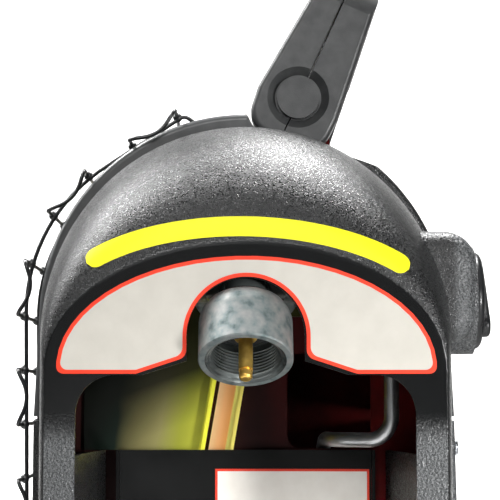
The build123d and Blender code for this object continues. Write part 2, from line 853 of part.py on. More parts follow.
def gas_feed_tube():
    start_y = barrel_half + 7.5
    return tube(
        [
            (swing_x, start_y, swing_z),
            (swing_x, start_y + 13, swing_z),
            (swing_x - 12, start_y + 21, swing_z + 9),
            (knob_x, start_y + 21, swing_z + 9),
            (knob_x, start_y + 21, knob_z + 16),
        ],
        tube_radius,
        [7, 5, 4.5],
    )


def tip_over_switch():
    case = block(-54, -26, 20, 40, base_top_z + sheet, base_top_z + 18)
    return fillet(case.edges().filter_by(Axis.Z), 2.5)


# ---------------------------------------------------------------- valve, knob

def control_valve():
    flange_back = well_floor_y - wall - 2.2
    body = rod_y(valve_radius, 42.0, flange_back, knob_x, knob_z)
    body += rod_y(15.0, flange_back, well_floor_y - wall - 0.2, knob_x, knob_z)
    body += rod_z(4.5, 222.0, 235.0, knob_x - 4, 54.0)
    inlet_y = barrel_half + 28.5
    body += rod_z(4.5, knob_z, knob_z + 16, knob_x, inlet_y)
    bore_back = cup_back_y - push_travel - 2.0
    body -= rod_y(cup_radius + stem_clearance, bore_back, well_floor_y, knob_x, knob_z)
    body -= rod_y(stem_radius + stem_clearance, 46.0, bore_back + 1, knob_x, knob_z)
    return body


def piezo_igniter():
    case = rod_y(6.0, 46.0, 68.0, knob_x + 9.3, knob_z - 15.7)
    return fillet(case.edges(), 0.8)


def valve_cup():
    cup = rod_y(cup_radius, cup_back_y, cup_back_y + cup_length, knob_x, knob_z)
    cup -= rod_y(stem_radius + stem_clearance, cup_back_y - 1, cup_back_y + cup_length + 1, knob_x, knob_z)
    return cup


def valve_stem():
    shoulder = cup_back_y + cup_length + 0.1
    stem = rod_y(stem_radius, 51.0, knob_face_y - 2.3, knob_x, knob_z)
    return stem + rod_y(6.0, shoulder, shoulder + 1.6, knob_x, knob_z)


def control_knob():
    body = rod_y(knob_radius, knob_back_y, knob_disc_y, knob_x, knob_z)
    body = fillet(body.faces().sort_by(Axis.Y)[-1].edges(), 2.4)
    grip = Pos(knob_x, knob_z) * Rot(0, 0, grip_turn) * SlotOverall(2 * knob_radius - 2, grip_width)
    bar = along_y(grip, knob_back_y, knob_face_y)
    body += fillet(bar.faces().sort_by(Axis.Y)[-1].edges(), 1.6)
    # hollow back with a hub
    hollow = rod_y(knob_radius - 2.0, knob_back_y - 1, knob_disc_y - 2.0, knob_x, knob_z)
    hollow -= rod_y(6.5, knob_back_y, knob_disc_y, knob_x, knob_z)
    body -= hollow
    return body - rod_y(stem_radius + stem_clearance, knob_back_y - 1, knob_face_y - 2.2, knob_x, knob_z)


# ---------------------------------------------------------------- handle

def handle_plane(x):
    """Plane across the handle: local x points back, local y points up along the arm."""
    tilt = radians(handle_tilt)
    return Plane(
        origin=(x, handle_pivot_y, handle_pivot_z),
        x_dir=(0, cos(tilt), -sin(tilt)),
        z_dir=(1, 0, 0),
    )


def handle_slab(face, x_start, x_end):
    return extrude(handle_plane(x_start) * face, x_end - x_start)


def handle_front_view(y_offset):
    """Plane that looks along the handle's own depth: local axes are X and the arm's length."""
    tilt = radians(handle_tilt)
    along = Vector(0, sin(tilt), cos(tilt))
    back = Vector(0, cos(tilt), -sin(tilt))
    origin = Vector(0, handle_pivot_y, handle_pivot_z) + back * y_offset
    return Plane(origin=origin, x_dir=(1, 0, 0), z_dir=Vector(1, 0, 0).cross(along))


def handle_whole():
    foot = FilletPolyline(
        (arm_rear, -2),
        (arm_rear - heel_draft, -arm_foot),
        (-arm_front + 1.6, -arm_foot),
        (-arm_front, -2),
        radius=[arm_heel_corner, arm_foot_corner],
    )
    front = Line((-arm_front, -2), (-arm_top_front, handle_shoulder))
    crown = ThreePointArc(
        (-arm_top_front, handle_shoulder),
        ((arm_top_rear - arm_top_front) / 2, handle_height),
        (arm_top_rear, handle_shoulder),
    )
    rear = Line((arm_top_rear, handle_shoulder), (arm_rear, -2))
    outline = make_face(foot + front + crown + rear)
    solid = handle_slab(outline, -arm_outer_x, arm_outer_x)
    ends = [edge for face in solid.faces().filter_by(Axis.X) for edge in face.edges()]
    solid = fillet(ends, 2.2)
    # round the two top corners and open the finger space
    low = -arm_foot - 10
    outer_high = handle_height + 1
    outer = Pos(0, (outer_high + low - 40) / 2) * RectangleRounded(
        2 * arm_outer_x + 1, outer_high - low + 40, handle_corner
    )
    opening_high = handle_height - grip_thickness
    opening = Pos(0, (opening_high + low - 40) / 2) * RectangleRounded(
        2 * arm_inner_x, opening_high - low + 40, 12
    )
    u_shape = extrude(handle_front_view(-60) * (outer - opening), -120, both=False)
    if u_shape.intersect(solid) is None:
        u_shape = extrude(handle_front_view(-60) * (outer - opening), 120)
    solid = solid & u_shape
    bore = Circle(pivot_bolt_radius + hinge_clearance)
    recess_floor = arm_outer_x - 2.8
    for side in (-1, 1):
        solid -= handle_slab(bore, *sorted((side * (arm_inner_x - 1), side * (recess_floor - 0.7))))
        near = handle_plane(side * (arm_outer_x + 0.01))
        deep = handle_plane(side * recess_floor)
        solid -= loft([near * Circle(pivot_recess_radius), deep * Circle(pivot_cap_radius + 0.8)])
        # groove along the parting line of the two mouldings
        groove = Pos(parting_offset, handle_height / 2 + 5) * Rectangle(groove_width, handle_height + 20)
        edge = side * arm_outer_x
        solid -= handle_slab(groove, *sorted((edge - side * groove_depth, edge + side)))
    return solid


def handle_screw_places():
    """Screws across the parting plane: (X, distance along the arm)."""
    return [(-86.5, 24.0), (86.5, 24.0), (-44.0, 47.0), (44.0, 47.0)]


def screw_rod(radius, start, end, x, along):
    """Rod across the handle from front to back at one screw place."""
    tilt = radians(handle_tilt)
    up = Vector(0, sin(tilt), cos(tilt))
    back = Vector(0, cos(tilt), -sin(tilt))
    origin = Vector(x, handle_pivot_y, handle_pivot_z) + up * along + back * start
    return extrude(Plane(origin=origin, x_dir=(1, 0, 0), z_dir=back) * Circle(radius), end - start)


def handle_halves():
    whole = handle_whole()
    for x, along in handle_screw_places():
        whole -= screw_rod(1.7, -7, 30, x, along)
        whole -= screw_rod(3.4, 9.5, 30, x, along)
    reach = 200.0
    front_slab = Pos(parting_offset - parting_gap / 2 - reach / 2, 0) * Rectangle(reach, reach * 2)
    rear_slab = Pos(parting_offset + parting_gap / 2 + reach / 2, 0) * Rectangle(reach, reach * 2)
    front = whole & handle_slab(front_slab, -reach, reach)
    rear = whole & handle_slab(rear_slab, -reach, reach)
    return front, rear


def handle_pivot_caps():
    caps = []
    for side in (-1, 1):
        low, high = sorted((side * (arm_outer_x - 2.8), side * (arm_outer_x - 0.4)))
        cap = handle_slab(Circle(pivot_cap_radius), low, high)
        caps.append(cap.solid())
    return Compound(children=caps)


def handle_screws():
    screws = []
    for x, along in handle_screw_places():
        screw = screw_rod(1.6, -6, 9.5, x, along) + screw_rod(3.2, 9.5, 11.7, x, along)
        screws.append(screw.solid())
    return Compound(children=screws)


def handle_pivot_bolts():
    bolts = []
    for side in (-1, 1):
        shank = sorted((side * (lug_inner_x - 3), side * (arm_outer_x - 4.0)))
        bolt = rod_x(pivot_bolt_radius, *shank, handle_pivot_y, handle_pivot_z)
        head = sorted((side * (lug_inner_x - 4), side * lug_inner_x))
        bolt += rod_x(7.0, *head, handle_pivot_y, handle_pivot_z)
        bolts.append(bolt.solid())
    return Compound(children=bolts)


# ---------------------------------------------------------------- regulator

def swung(shape):
    """Place a shape drawn about the swivel, with the inlet down, at the swung-out rest."""
    return Pos(swing_x, 0, swing_z) * Rot(0, -swing_out, 0) * shape


collar_top = collar_reach - collar_length
inlet_floor = collar_reach - thread_depth


def regulator_body():
    barrel = rod_y(barrel_radius, -barrel_half, barrel_half, 0, 0)
    barrel = chamfer(barrel.edges(), 1.0)
    neck = rod_z(neck_radius, -(inlet_floor - 3), 0, 0, 0)
    chamber = rod_z(bonnet_radius, -4, 4, -bonnet_offset, 0)
    body = barrel + neck + fillet(chamber.edges().sort_by(Axis.Z)[:1], 2.0)
    body -= rod_y(swing_pin_radius + hinge_clearance, -barrel_half - 1, barrel_half + 1, 0, 0)
    body -= rod_z(probe_root_radius + 0.05, -(inlet_floor), -(inlet_floor - 9), 0, 0)
    return swung(body)


def regulator_bonnet():
    flange = rod_z(bonnet_radius, 4, 6.5, -bonnet_offset, 0)
    dome = extrude(Plane.XY.offset(6.5) * Pos(-bonnet_offset, 0) * Circle(13.5), 6.5, taper=20)
    bonnet = flange + fillet(dome.faces().sort_by(Axis.Z)[-1].edges(), 2.0)
    bonnet -= rod_y(barrel_radius + 0.3, -barrel_half - 1, barrel_half + 1, 0, 0)
    return swung(bonnet)


def inlet_collar():
    """Threaded inlet: plain outside with a chamfered shoulder, bored for the cylinder's neck."""
    rounding = Spline(
        (shoulder_radius, -shoulder_reach),
        (14.3, -(shoulder_reach + 2.6)),
        (collar_radius, -(collar_top + 0.3)),
    )
    edges = Polyline(
        (collar_radius, -(collar_top + 0.3)),
        (collar_radius, -(collar_reach - 0.5)),
        (collar_radius - 0.5, -collar_reach),
        (mouth_radius, -collar_reach),
        (thread_radius, -(collar_reach - 1.9)),
        (thread_radius, -inlet_floor),
        (probe_root_radius + 0.05, -inlet_floor),
        (probe_root_radius + 0.05, -(inlet_floor - 3)),
        (neck_radius + 0.05, -(inlet_floor - 3)),
        (neck_radius + 0.05, -shoulder_reach),
        (shoulder_radius, -shoulder_reach),
    )
    return swung(revolve(Plane.XZ * make_face(rounding + edges), Axis.Z))


def inlet_probe():
    """Brass pin that opens the cylinder's valve; its root sits in the regulator body."""
    tip = collar_reach + probe_proud
    free_end = tip - 3.6
    root = free_end - probe_free_length
    probe = rod_z(probe_root_radius, -root, -(inlet_floor - 8), 0, 0)
    probe += rod_z(probe_radius, -free_end, -root, 0, 0)
    probe += rod_z(1.8, -(free_end + 1.2), -free_end, 0, 0)
    nose = rod_z(2.3, -tip, -(free_end + 1.2), 0, 0)
    nose = fillet(nose.faces().sort_by(Axis.Z)[0].edges(), 1.2)
    return swung(probe + nose)


def inlet_seat():
    profile = make_face(
        Polyline(
            (probe_root_radius + 0.05, -inlet_floor),
            (5.2, -inlet_floor),
            (5.2, -(inlet_floor + 2.2)),
            (3.9, -(inlet_floor + 4.6)),
            (probe_root_radius + 0.05, -(inlet_floor + 4.6)),
            close=True,
        )
    )
    return swung(revolve(Plane.XZ * profile, Axis.Z))


def inlet_seal():
    profile = make_face(
        Polyline(
            (5.4, -inlet_floor),
            (8.6, -inlet_floor),
            (8.6, -(inlet_floor + 1.8)),
            (5.4, -(inlet_floor + 1.8)),
            close=True,
        )
    )
    return swung(revolve(Plane.XZ * profile, Axis.Z))


# ---------------------------------------------------------------- guard

def guard_corner(inset):
    """Where the sloping top run and the front run of the guard would cross, in (Y, Z)."""
    top, front = guard_stand_off - inset, guard_front_off - inset
    slope, lean = radians(guard_slope), radians(guard_lean)
    spread = cos(slope - lean)
    y = -(top * sin(lean) + front * cos(slope)) / spread
    z = (top * cos(lean) - front * sin(slope)) / spread
    return (y, arch_centre_z + z)


def guard_point(travel):
    """Point in (Y, Z) at a distance along the guard, measured down from its top wire."""
    slope, lean = radians(guard_slope), radians(guard_lean)
    corner = guard_corner(0)
    turn = radians(90 - guard_slope + guard_lean)
    shoulder = guard_bend_radius * tan(turn / 2)
    bend_start = (corner[0] + shoulder * cos(slope), corner[1] + shoulder * sin(slope))
    run = travel - (guard_top_y - bend_start[0]) / cos(slope)
    if run < 0:
        return (bend_start[0] - run * cos(slope), bend_start[1] - run * sin(slope))
    centre_y = bend_start[0] + guard_bend_radius * sin(slope)
    centre_z = bend_start[1] - guard_bend_radius * cos(slope)
    if run < guard_bend_radius * turn:
        rise = radians(90) - slope - run / guard_bend_radius
        return (centre_y - guard_bend_radius * cos(rise), centre_z + guard_bend_radius * sin(rise))
    down = run - guard_bend_radius * turn + shoulder
    return (corner[0] + down * sin(lean), corner[1] - down * cos(lean))


def guard_loops():
    """Long hairpin loops; each joins two wires with ends that bow in towards the body."""
    loops = []
    end_x = guard_half_length
    for index in range(guard_loop_count):
        upper = guard_point(2 * index * guard_pitch)
        lower = guard_point((2 * index + 1) * guard_pitch)
        chord = Vector(0, upper[0] - lower[0], upper[1] - lower[1]).normalized()
        inward = Vector(1, 0, 0).cross(chord) * -guard_end_bow
        middle = Vector(end_x, (upper[0] + lower[0]) / 2, (upper[1] + lower[1]) / 2) + inward
        half = tube(
            [(0, *upper), (end_x, *upper), middle, (end_x, *lower), (0, *lower)],
            guard_wire / 2,
            [guard_end_bend, guard_bow_bend, guard_end_bend],
        )
        loops.append((half + mirror(half, about=Plane.YZ)).solid())
    return Compound(children=loops)


upright_inset = guard_wire + weld_gap
upright_low_z = window_low_z - 14.0
upright_entry = (0.8, -0.6)


def upright_top():
    """Top bend of an upright, in (Y, Z)."""
    corner = guard_corner(upright_inset)
    climb = (guard_upright_top_y - corner[0]) * tan(radians(guard_slope))
    return (guard_upright_top_y, corner[1] + climb)


def guard_upright(x):
    """Upright wire inside the loops; both ends turn in through the body shell."""
    top = upright_top()
    corner = guard_corner(upright_inset)
    low_y = corner[0] + (corner[1] - upright_low_z) * tan(radians(guard_lean))
    return tube(
        [
            (x, top[0] + 14 * upright_entry[0], top[1] + 14 * upright_entry[1]),
            (x, *top),
            (x, *corner),
            (x, low_y, upright_low_z),
            (x, low_y + 9.0, upright_low_z),
        ],
        guard_wire / 2,
        [3.0, guard_bend_radius - upright_inset, 2.5],
    )


def upright_places():
    return [-guard_upright_x, -guard_upright_x / 2, 0.0, guard_upright_x / 2, guard_upright_x]


def guard_uprights():
    return Compound(children=[guard_upright(x).solid() for x in upright_places()])


def wire_holes():
    """Clearance for the ends of the uprights where they pass through the shell."""
    top = upright_top()
    holes = []
    for x in upright_places():
        plane = Plane(origin=(x, *top), x_dir=(1, 0, 0), z_dir=(0, *upright_entry))
        holes.append(extrude(plane * Circle(guard_wire / 2 + 0.25), 16.0))
        holes.append(rod_y(guard_wire / 2 + 0.25, -100, -60, x, upright_low_z))
    return holes


# ---------------------------------------------------------------- build

def build():
    holes = wire_holes()
    front_half, rear_half = handle_halves()
    parts = {
        "base_tray": base_tray(),
        "rubber_feet": rubber_feet(),
        "tank_side_cap": tank_side_cap(),
        "plain_side_cap": plain_side_cap(),
        "front_hood": front_hood() - holes,
        "front_panel": front_panel() - holes,
        "rear_cover": rear_cover(),
        "rear_panel": rear_panel(),
        "top_cover": top_cover(),
        "chassis": chassis(),
        "recess_panel": recess_panel(),
        "regulator_bracket": regulator_bracket(),
        "bracket_strap": bracket_strap(),
        "swing_pivot_pin": swing_pivot_pin(),
        "reflector": reflector(),
        "burner_plenum": burner_plenum(),
        "ceramic_tile": ceramic_tile(),
        "tile_frame": tile_frame(),
        "venturi_tube": venturi_tube(),
        "injector": injector(),
        "pilot_bracket": pilot_bracket(),
        "pilot_burner": pilot_burner(),
        "thermocouple": thermocouple(),
        "spark_electrode": spark_electrode(),
        "pilot_tube": pilot_tube(),
        "burner_supply_tube": burner_supply_tube(),
        "gas_feed_tube": gas_feed_tube(),
        "tip_over_switch": tip_over_switch(),
        "control_valve": control_valve(),
        "piezo_igniter": piezo_igniter(),
        "valve_cup": valve_cup(),
        "valve_stem": valve_stem(),
        "control_knob": control_knob(),
        "handle_front_half": front_half,
        "handle_rear_half": rear_half,
        "handle_pivot_caps": handle_pivot_caps(),
        "handle_screws": handle_screws(),
        "handle_pivot_bolts": handle_pivot_bolts(),
        "regulator_body": regulator_body(),
        "regulator_bonnet": regulator_bonnet(),
        "inlet_collar": inlet_collar(),
        "inlet_probe": inlet_probe(),
        "inlet_seat": inlet_seat(),
        "inlet_seal": inlet_seal(),
        "guard_loops": guard_loops(),
        "guard_uprights": guard_uprights(),
    }
    for name, shape in parts.items():
        save(shape, name)


build()
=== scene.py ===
import math

import bpy
from mathutils import Euler, Matrix, Vector
from mathutils.bvhtree import BVHTree


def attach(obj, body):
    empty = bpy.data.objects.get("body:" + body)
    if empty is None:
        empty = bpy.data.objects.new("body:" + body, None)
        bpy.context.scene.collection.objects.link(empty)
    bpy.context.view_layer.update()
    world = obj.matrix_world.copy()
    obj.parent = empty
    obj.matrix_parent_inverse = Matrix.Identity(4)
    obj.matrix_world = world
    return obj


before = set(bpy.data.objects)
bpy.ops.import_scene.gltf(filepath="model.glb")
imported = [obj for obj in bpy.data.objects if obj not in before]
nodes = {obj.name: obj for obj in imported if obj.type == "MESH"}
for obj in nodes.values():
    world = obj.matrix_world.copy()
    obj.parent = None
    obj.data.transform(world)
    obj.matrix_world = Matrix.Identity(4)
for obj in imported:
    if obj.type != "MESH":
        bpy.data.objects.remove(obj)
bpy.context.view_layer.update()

# Lengths are in metres, so a size in millimetres is written as a number times MM.
MM = 0.001

# ---- camera, from the spot the heater is seen from; its sensor's width is in millimetres ----
CAMERA_X = 758.0 * MM
CAMERA_Z = 204.0 * MM
FOCAL_PIXELS = 1744.0
PICTURE_PIXELS = 500.0
SENSOR_WIDTH = 36.0
HORIZON_BELOW_MIDDLE = 150.0
VANISHING_LEFT_OF_MIDDLE = 4.3
CLIP_NEAR, CLIP_FAR = 0.01, 50.0

# ---- sizes shared with the body ----
FACE_X = 158.0 * MM
NOTCH_Z = 225.7 * MM
NOTCH_R = 20.4 * MM
SWIVEL = Vector((138.0, 0.0, 253.6)) * MM
SWING_OUT = math.radians(32.4)
BORE_R = 12.3 * MM
MOUTH_R = 14.0 * MM
KNOB_X = 114.0 * MM
KNOB_Z = 240.6 * MM
KNOB_DISC_Y = 86.4 * MM
LABEL_THICK = 0.14 * MM


# ---------------------------------------------------------------- materials

NOISE = "ShaderNodeTexNoise"
CELLS = "ShaderNodeTexVoronoi"
RAMP = "ShaderNodeValToRGB"
RANGE = "ShaderNodeMapRange"
MAPPING = "ShaderNodeMapping"
AXES = "ShaderNodeSeparateXYZ"
MATH = "ShaderNodeMath"
VECTOR_MATH = "ShaderNodeVectorMath"
MIX = "ShaderNodeMix"
BUMP = "ShaderNodeBump"

# A Mix node's inputs go by number, because its names repeat.
FACTOR, FIRST_VALUE, SECOND_VALUE, FIRST_COLOUR, SECOND_COLOUR = 0, 2, 3, 6, 7

# Soft noise mostly stays between these two, so what follows it runs from one to the other.
CLOUD_LOW, CLOUD_HIGH = 0.3, 0.7


def linear(hex_colour):
    """A colour such as "#A0B1C2", turned from sRGB to linear."""
    rgb = [int(hex_colour[i:i + 2], 16) / 255 for i in (1, 3, 5)]
    parts = [c / 12.92 if c <= 0.04045 else ((c + 0.055) / 1.055) ** 2.4 for c in rgb]
    return (*parts, 1.0)


def connect(tree, node, links):
    """Feed a node's inputs, each with a value, a socket, or another node's output in use."""
    for name, value in links.items():
        if isinstance(value, bpy.types.Node):
            value = next(output for output in value.outputs if output.enabled)
        if isinstance(value, bpy.types.NodeSocket):
            tree.links.new(value, node.inputs[name])
        else:
            node.inputs[name].default_value = value


def add(tree, kind, links, stops=(), **settings):
    """Add one shader node with its settings and links; stops are a ramp's (place, hex colour)."""
    node = tree.nodes.new(kind)
    for name, value in settings.items():
        setattr(node, name, value)
    connect(tree, node, links)
    for _ in range(len(stops) - 2):
        node.color_ramp.elements.new(0.5)
    for index, (where, colour) in enumerate(stops):
        node.color_ramp.elements[index].position = where
        node.color_ramp.elements[index].color = linear(colour)
    return node


def surface(name, constants):
    """An empty node material: its tree, its shader with constants set, and its place socket."""
    material = bpy.data.materials.new(name)
    material.use_nodes = True
    tree = material.node_tree
    tree.nodes.clear()
    shader = add(tree, "ShaderNodeBsdfPrincipled", constants)
    add(tree, "ShaderNodeOutputMaterial", {"Surface": shader})
    place = add(tree, "ShaderNodeTexCoord", {}).outputs["Object"]
    return material, tree, shader, place


def mottled(name, constants, cloud_mm, detail, colours, roughness=None, skin=None):
    """A finish in soft clouds cloud_mm across, from one colour to the other.

    roughness is that of the two colours, where it changes with them. skin is a fine relief over
    all: its grain in millimetres, its detail, its depth in millimetres and its strength.
    """
    material, tree, shader, place = surface(name, constants)
    cloud = add(tree, NOISE, {"Vector": place, "Scale": 1 / (cloud_mm * MM), "Detail": detail})
    stops = ((CLOUD_LOW, colours[0]), (CLOUD_HIGH, colours[1]))
    connect(tree, shader, {"Base Color": add(tree, RAMP, {"Fac": cloud}, stops)})
    if roughness:
        gloss = add(tree, RANGE, {
            "Value": cloud, "From Min": CLOUD_LOW, "From Max": CLOUD_HIGH,
            "To Min": roughness[0], "To Max": roughness[1],
        })
        connect(tree, shader, {"Roughness": gloss})
    if skin:
        grain_mm, grain_detail, depth_mm, strength = skin
        grain = add(tree, NOISE, {
            "Vector": place, "Scale": 1 / (grain_mm * MM), "Detail": grain_detail,
        })
        relief = add(tree, BUMP, {
            "Height": grain, "Distance": depth_mm * MM, "Strength": strength,
        })
        connect(tree, shader, {"Normal": relief})
    return material


def lined_metal(name, constants, cloud_mm, stops, line_mm, detail, stretch, roughness, relief):
    """A metal tinted in clouds, with fine lines that change its roughness and stand out a little.

    stretch draws the lines out along an axis, and relief is their depth in millimetres and its
    strength.
    """
    material, tree, shader, place = surface(name, constants)
    tint = add(tree, NOISE, {"Vector": place, "Scale": 1 / (cloud_mm * MM), "Detail": 2.0})
    drawn_out = add(tree, MAPPING, {"Vector": place, "Scale": stretch})
    lines = add(tree, NOISE, {
        "Vector": drawn_out, "Scale": 1 / (line_mm * MM), "Detail": detail,
    })
    connect(tree, shader, {
        "Base Color": add(tree, RAMP, {"Fac": tint}, stops),
        "Roughness": add(tree, RANGE, {
            "Value": lines, "From Min": CLOUD_LOW, "From Max": CLOUD_HIGH,
            "To Min": roughness[0], "To Max": roughness[1],
        }),
        "Normal": add(tree, BUMP, {
            "Height": lines, "Distance": relief[0] * MM, "Strength": relief[1],
        }),
    })
    return material


# Where a part of the end cap begins and where it is reached in full: the flat face wall in X, the
# knob's hump in Y, and the polished land above the legs in Z, whose lower edge is ragged.
FLAT_LOW_X, FLAT_HIGH_X = FACE_X - 0.14 * MM, FACE_X - 0.04 * MM
HUMP_LOW_Y, HUMP_HIGH_Y = 73 * MM, 76 * MM
LAND_LOW_Z, LAND_HIGH_Z = 193 * MM, 204 * MM
LAND_RAGGED = 8 * MM
# Roughness of the polished land, and of the textured skin from its brightest to its dullest pit.
LAND_ROUGHNESS = 0.18
PIT_ROUGHNESS_LOW, PIT_ROUGHNESS_HIGH = 0.22, 0.52


def moulded_spark_textured_abs():
    # Injection-moulded black ABS from a spark-eroded tool: pits that glint one by one under a lamp.
    # Real pits are about 0.2 mm across; they are drawn at 0.5 mm so that they show. The legs and
    # the knob's hump have a deeper grain, drawn at 1 mm, and are painted grey as painted light,
    # for the light they catch. The land round the label is polished and stays black, and its lower
    # edge is ragged.
    material, tree, shader, place = surface(
        "moulded_spark_textured_abs", {"Roughness": 0.3, "IOR": 1.54}
    )
    coarse, fine, worms = (
        add(tree, NOISE, {"Vector": place, "Scale": 1 / (size_mm * MM), "Detail": 0.0})
        for size_mm in (0.5, 0.32, 1.0)
    )
    tattered = add(tree, NOISE, {"Vector": place, "Scale": 1 / (1.0 * MM), "Detail": 3.0})
    x, y, z = add(tree, AXES, {"Vector": place}).outputs
    ragged = add(tree, MATH, {0: tattered, 1: LAND_RAGGED, 2: z}, operation="MULTIPLY_ADD")
    flat = add(tree, RANGE, {"Value": x, "From Min": FLAT_LOW_X, "From Max": FLAT_HIGH_X})
    hump = add(tree, RANGE, {"Value": y, "From Min": HUMP_LOW_Y, "From Max": HUMP_HIGH_Y})
    above = add(tree, RANGE, {"Value": ragged, "From Min": LAND_LOW_Z, "From Max": LAND_HIGH_Z})
    land = add(tree, MATH, {0: flat, 1: above}, operation="MULTIPLY")
    legs = add(tree, MATH, {0: flat, 1: land}, operation="SUBTRACT")
    deep = add(tree, MATH, {0: legs, 1: hump}, operation="MAXIMUM")
    # The legs and the hump are painted lighter grey: painted light, not wear.
    painted_light_mask = add(tree, MATH, {0: deep, 1: 2.0}, operation="POWER")
    textured = add(tree, RANGE, {"Value": land, "To Min": 1.0, "To Max": 0.0})
    black = add(tree, RAMP, {"Fac": coarse}, ((CLOUD_LOW, "#070808"), (CLOUD_HIGH, "#111213")))
    painted_light_grey = add(tree, RAMP, {"Fac": coarse}, ((CLOUD_LOW, "#1C1D1E"), (0.62, "#585A5B")))
    cells = add(tree, CELLS, {"Vector": place, "Scale": 1 / (0.42 * MM)})
    glint = add(tree, RANGE, {
        "Value": cells.outputs["Color"], "From Min": 0.25, "From Max": 0.75,
        "To Min": PIT_ROUGHNESS_LOW, "To Max": PIT_ROUGHNESS_HIGH,
    })
    pitted = add(tree, BUMP, {"Height": coarse, "Distance": 0.12 * MM, "Strength": textured})
    gritty = add(tree, BUMP, {
        "Height": fine, "Distance": 0.13 * MM, "Strength": textured, "Normal": pitted,
    })
    connect(tree, shader, {
        "Base Color": add(tree, MIX, {
            FACTOR: painted_light_mask, FIRST_COLOUR: black, SECOND_COLOUR: painted_light_grey,
        }, data_type="RGBA"),
        "Roughness": add(tree, MIX, {
            FACTOR: land, FIRST_VALUE: glint, SECOND_VALUE: LAND_ROUGHNESS,
        }, data_type="FLOAT"),
        "Normal": add(tree, BUMP, {
            "Height": worms, "Distance": 0.42 * MM, "Strength": deep, "Normal": gritty,
        }),
    })
    return material


# Across Y the enamel runs from painted shade, nearly black, to its full red.
SHADED_Y, RED_Y = 5 * MM, 62 * MM


def dark_red_enamel():
    # Baked enamel on sheet steel: deep red in clouds 22 mm across, with a faint orange peel. It is
    # painted nearly black towards the middle, from Y 62 mm down to Y 5 mm: painted shade in the
    # recess.
    material, tree, shader, place = surface(
        "dark_red_enamel", {"Roughness": 0.5, "Specular IOR Level": 0.12}
    )
    cloud = add(tree, NOISE, {"Vector": place, "Scale": 1 / (22.0 * MM), "Detail": 3.0})
    red = add(tree, RAMP, {"Fac": cloud}, ((CLOUD_LOW, "#4A0001"), (CLOUD_HIGH, "#680304")))
    unshaded = add(tree, RANGE, {
        "Value": add(tree, AXES, {"Vector": place}).outputs["Y"],
        "From Min": SHADED_Y, "From Max": RED_Y, "To Min": 0.1,
    })
    peel = add(tree, NOISE, {"Vector": place, "Scale": 1 / (1.8 * MM), "Detail": 1.0})
    connect(tree, shader, {
        "Base Color": add(tree, MIX, {
            FACTOR: unshaded, FIRST_COLOUR: linear("#0E0605"), SECOND_COLOUR: red,
        }, data_type="RGBA"),
        "Normal": add(tree, BUMP, {"Height": peel, "Distance": 0.05 * MM, "Strength": 0.5}),
    })
    return material


BRACKET_LEAN = 0.1714
BRACKET_SHADED_END_MM, BRACKET_LIP_MM = -96.3, -47.4
STRAP_START_MM, STRAP_END_MM = -46.2, -36.6
# Above a line that slopes across Y, the bracket is painted dark: a painted shadow.
SHADOW_SLOPE = 0.36
SHADOW_LOW_Z, SHADOW_HIGH_Z = 203 * MM, 223 * MM
# The lip's painted highlight fades out between these heights.
LIP_LOW_Z, LIP_HIGH_Z = 221 * MM, 225 * MM
# Where the lip begins across the bracket, from 0 at its shaded end, painted dark, to 1 at the fold.
LIP_LOW, LIP_HIGH = 0.945, 0.955


def across_bracket(tree, place, low_mm, high_mm, wobble_mm=0.0):
    """0 to 1 across the leaning bracket: Y less its lean over the height, between two places."""
    lean = add(tree, VECTOR_MATH, {0: place, 1: (0.0, 1.0, -BRACKET_LEAN)}, operation="DOT_PRODUCT")
    soft = add(tree, NOISE, {"Vector": place, "Scale": 1 / (16.0 * MM), "Detail": 2.0})
    wobble = add(tree, RANGE, {
        "Value": soft, "From Min": CLOUD_LOW, "From Max": CLOUD_HIGH,
        "To Min": -wobble_mm * MM, "To Max": wobble_mm * MM,
    })
    placed = add(tree, MATH, {0: lean, 1: wobble}, operation="ADD")
    return add(tree, RANGE, {
        "Value": placed, "From Min": low_mm * MM, "From Max": high_mm * MM,
    })


def thin_plating_grain(tree, place):
    """The faint unevenness of plated sheet, a hundredth of a millimetre deep."""
    grain = add(tree, NOISE, {"Vector": place, "Scale": 1 / (0.9 * MM), "Detail": 2.0})
    return add(tree, BUMP, {"Height": grain, "Distance": 0.008 * MM, "Strength": 0.3})


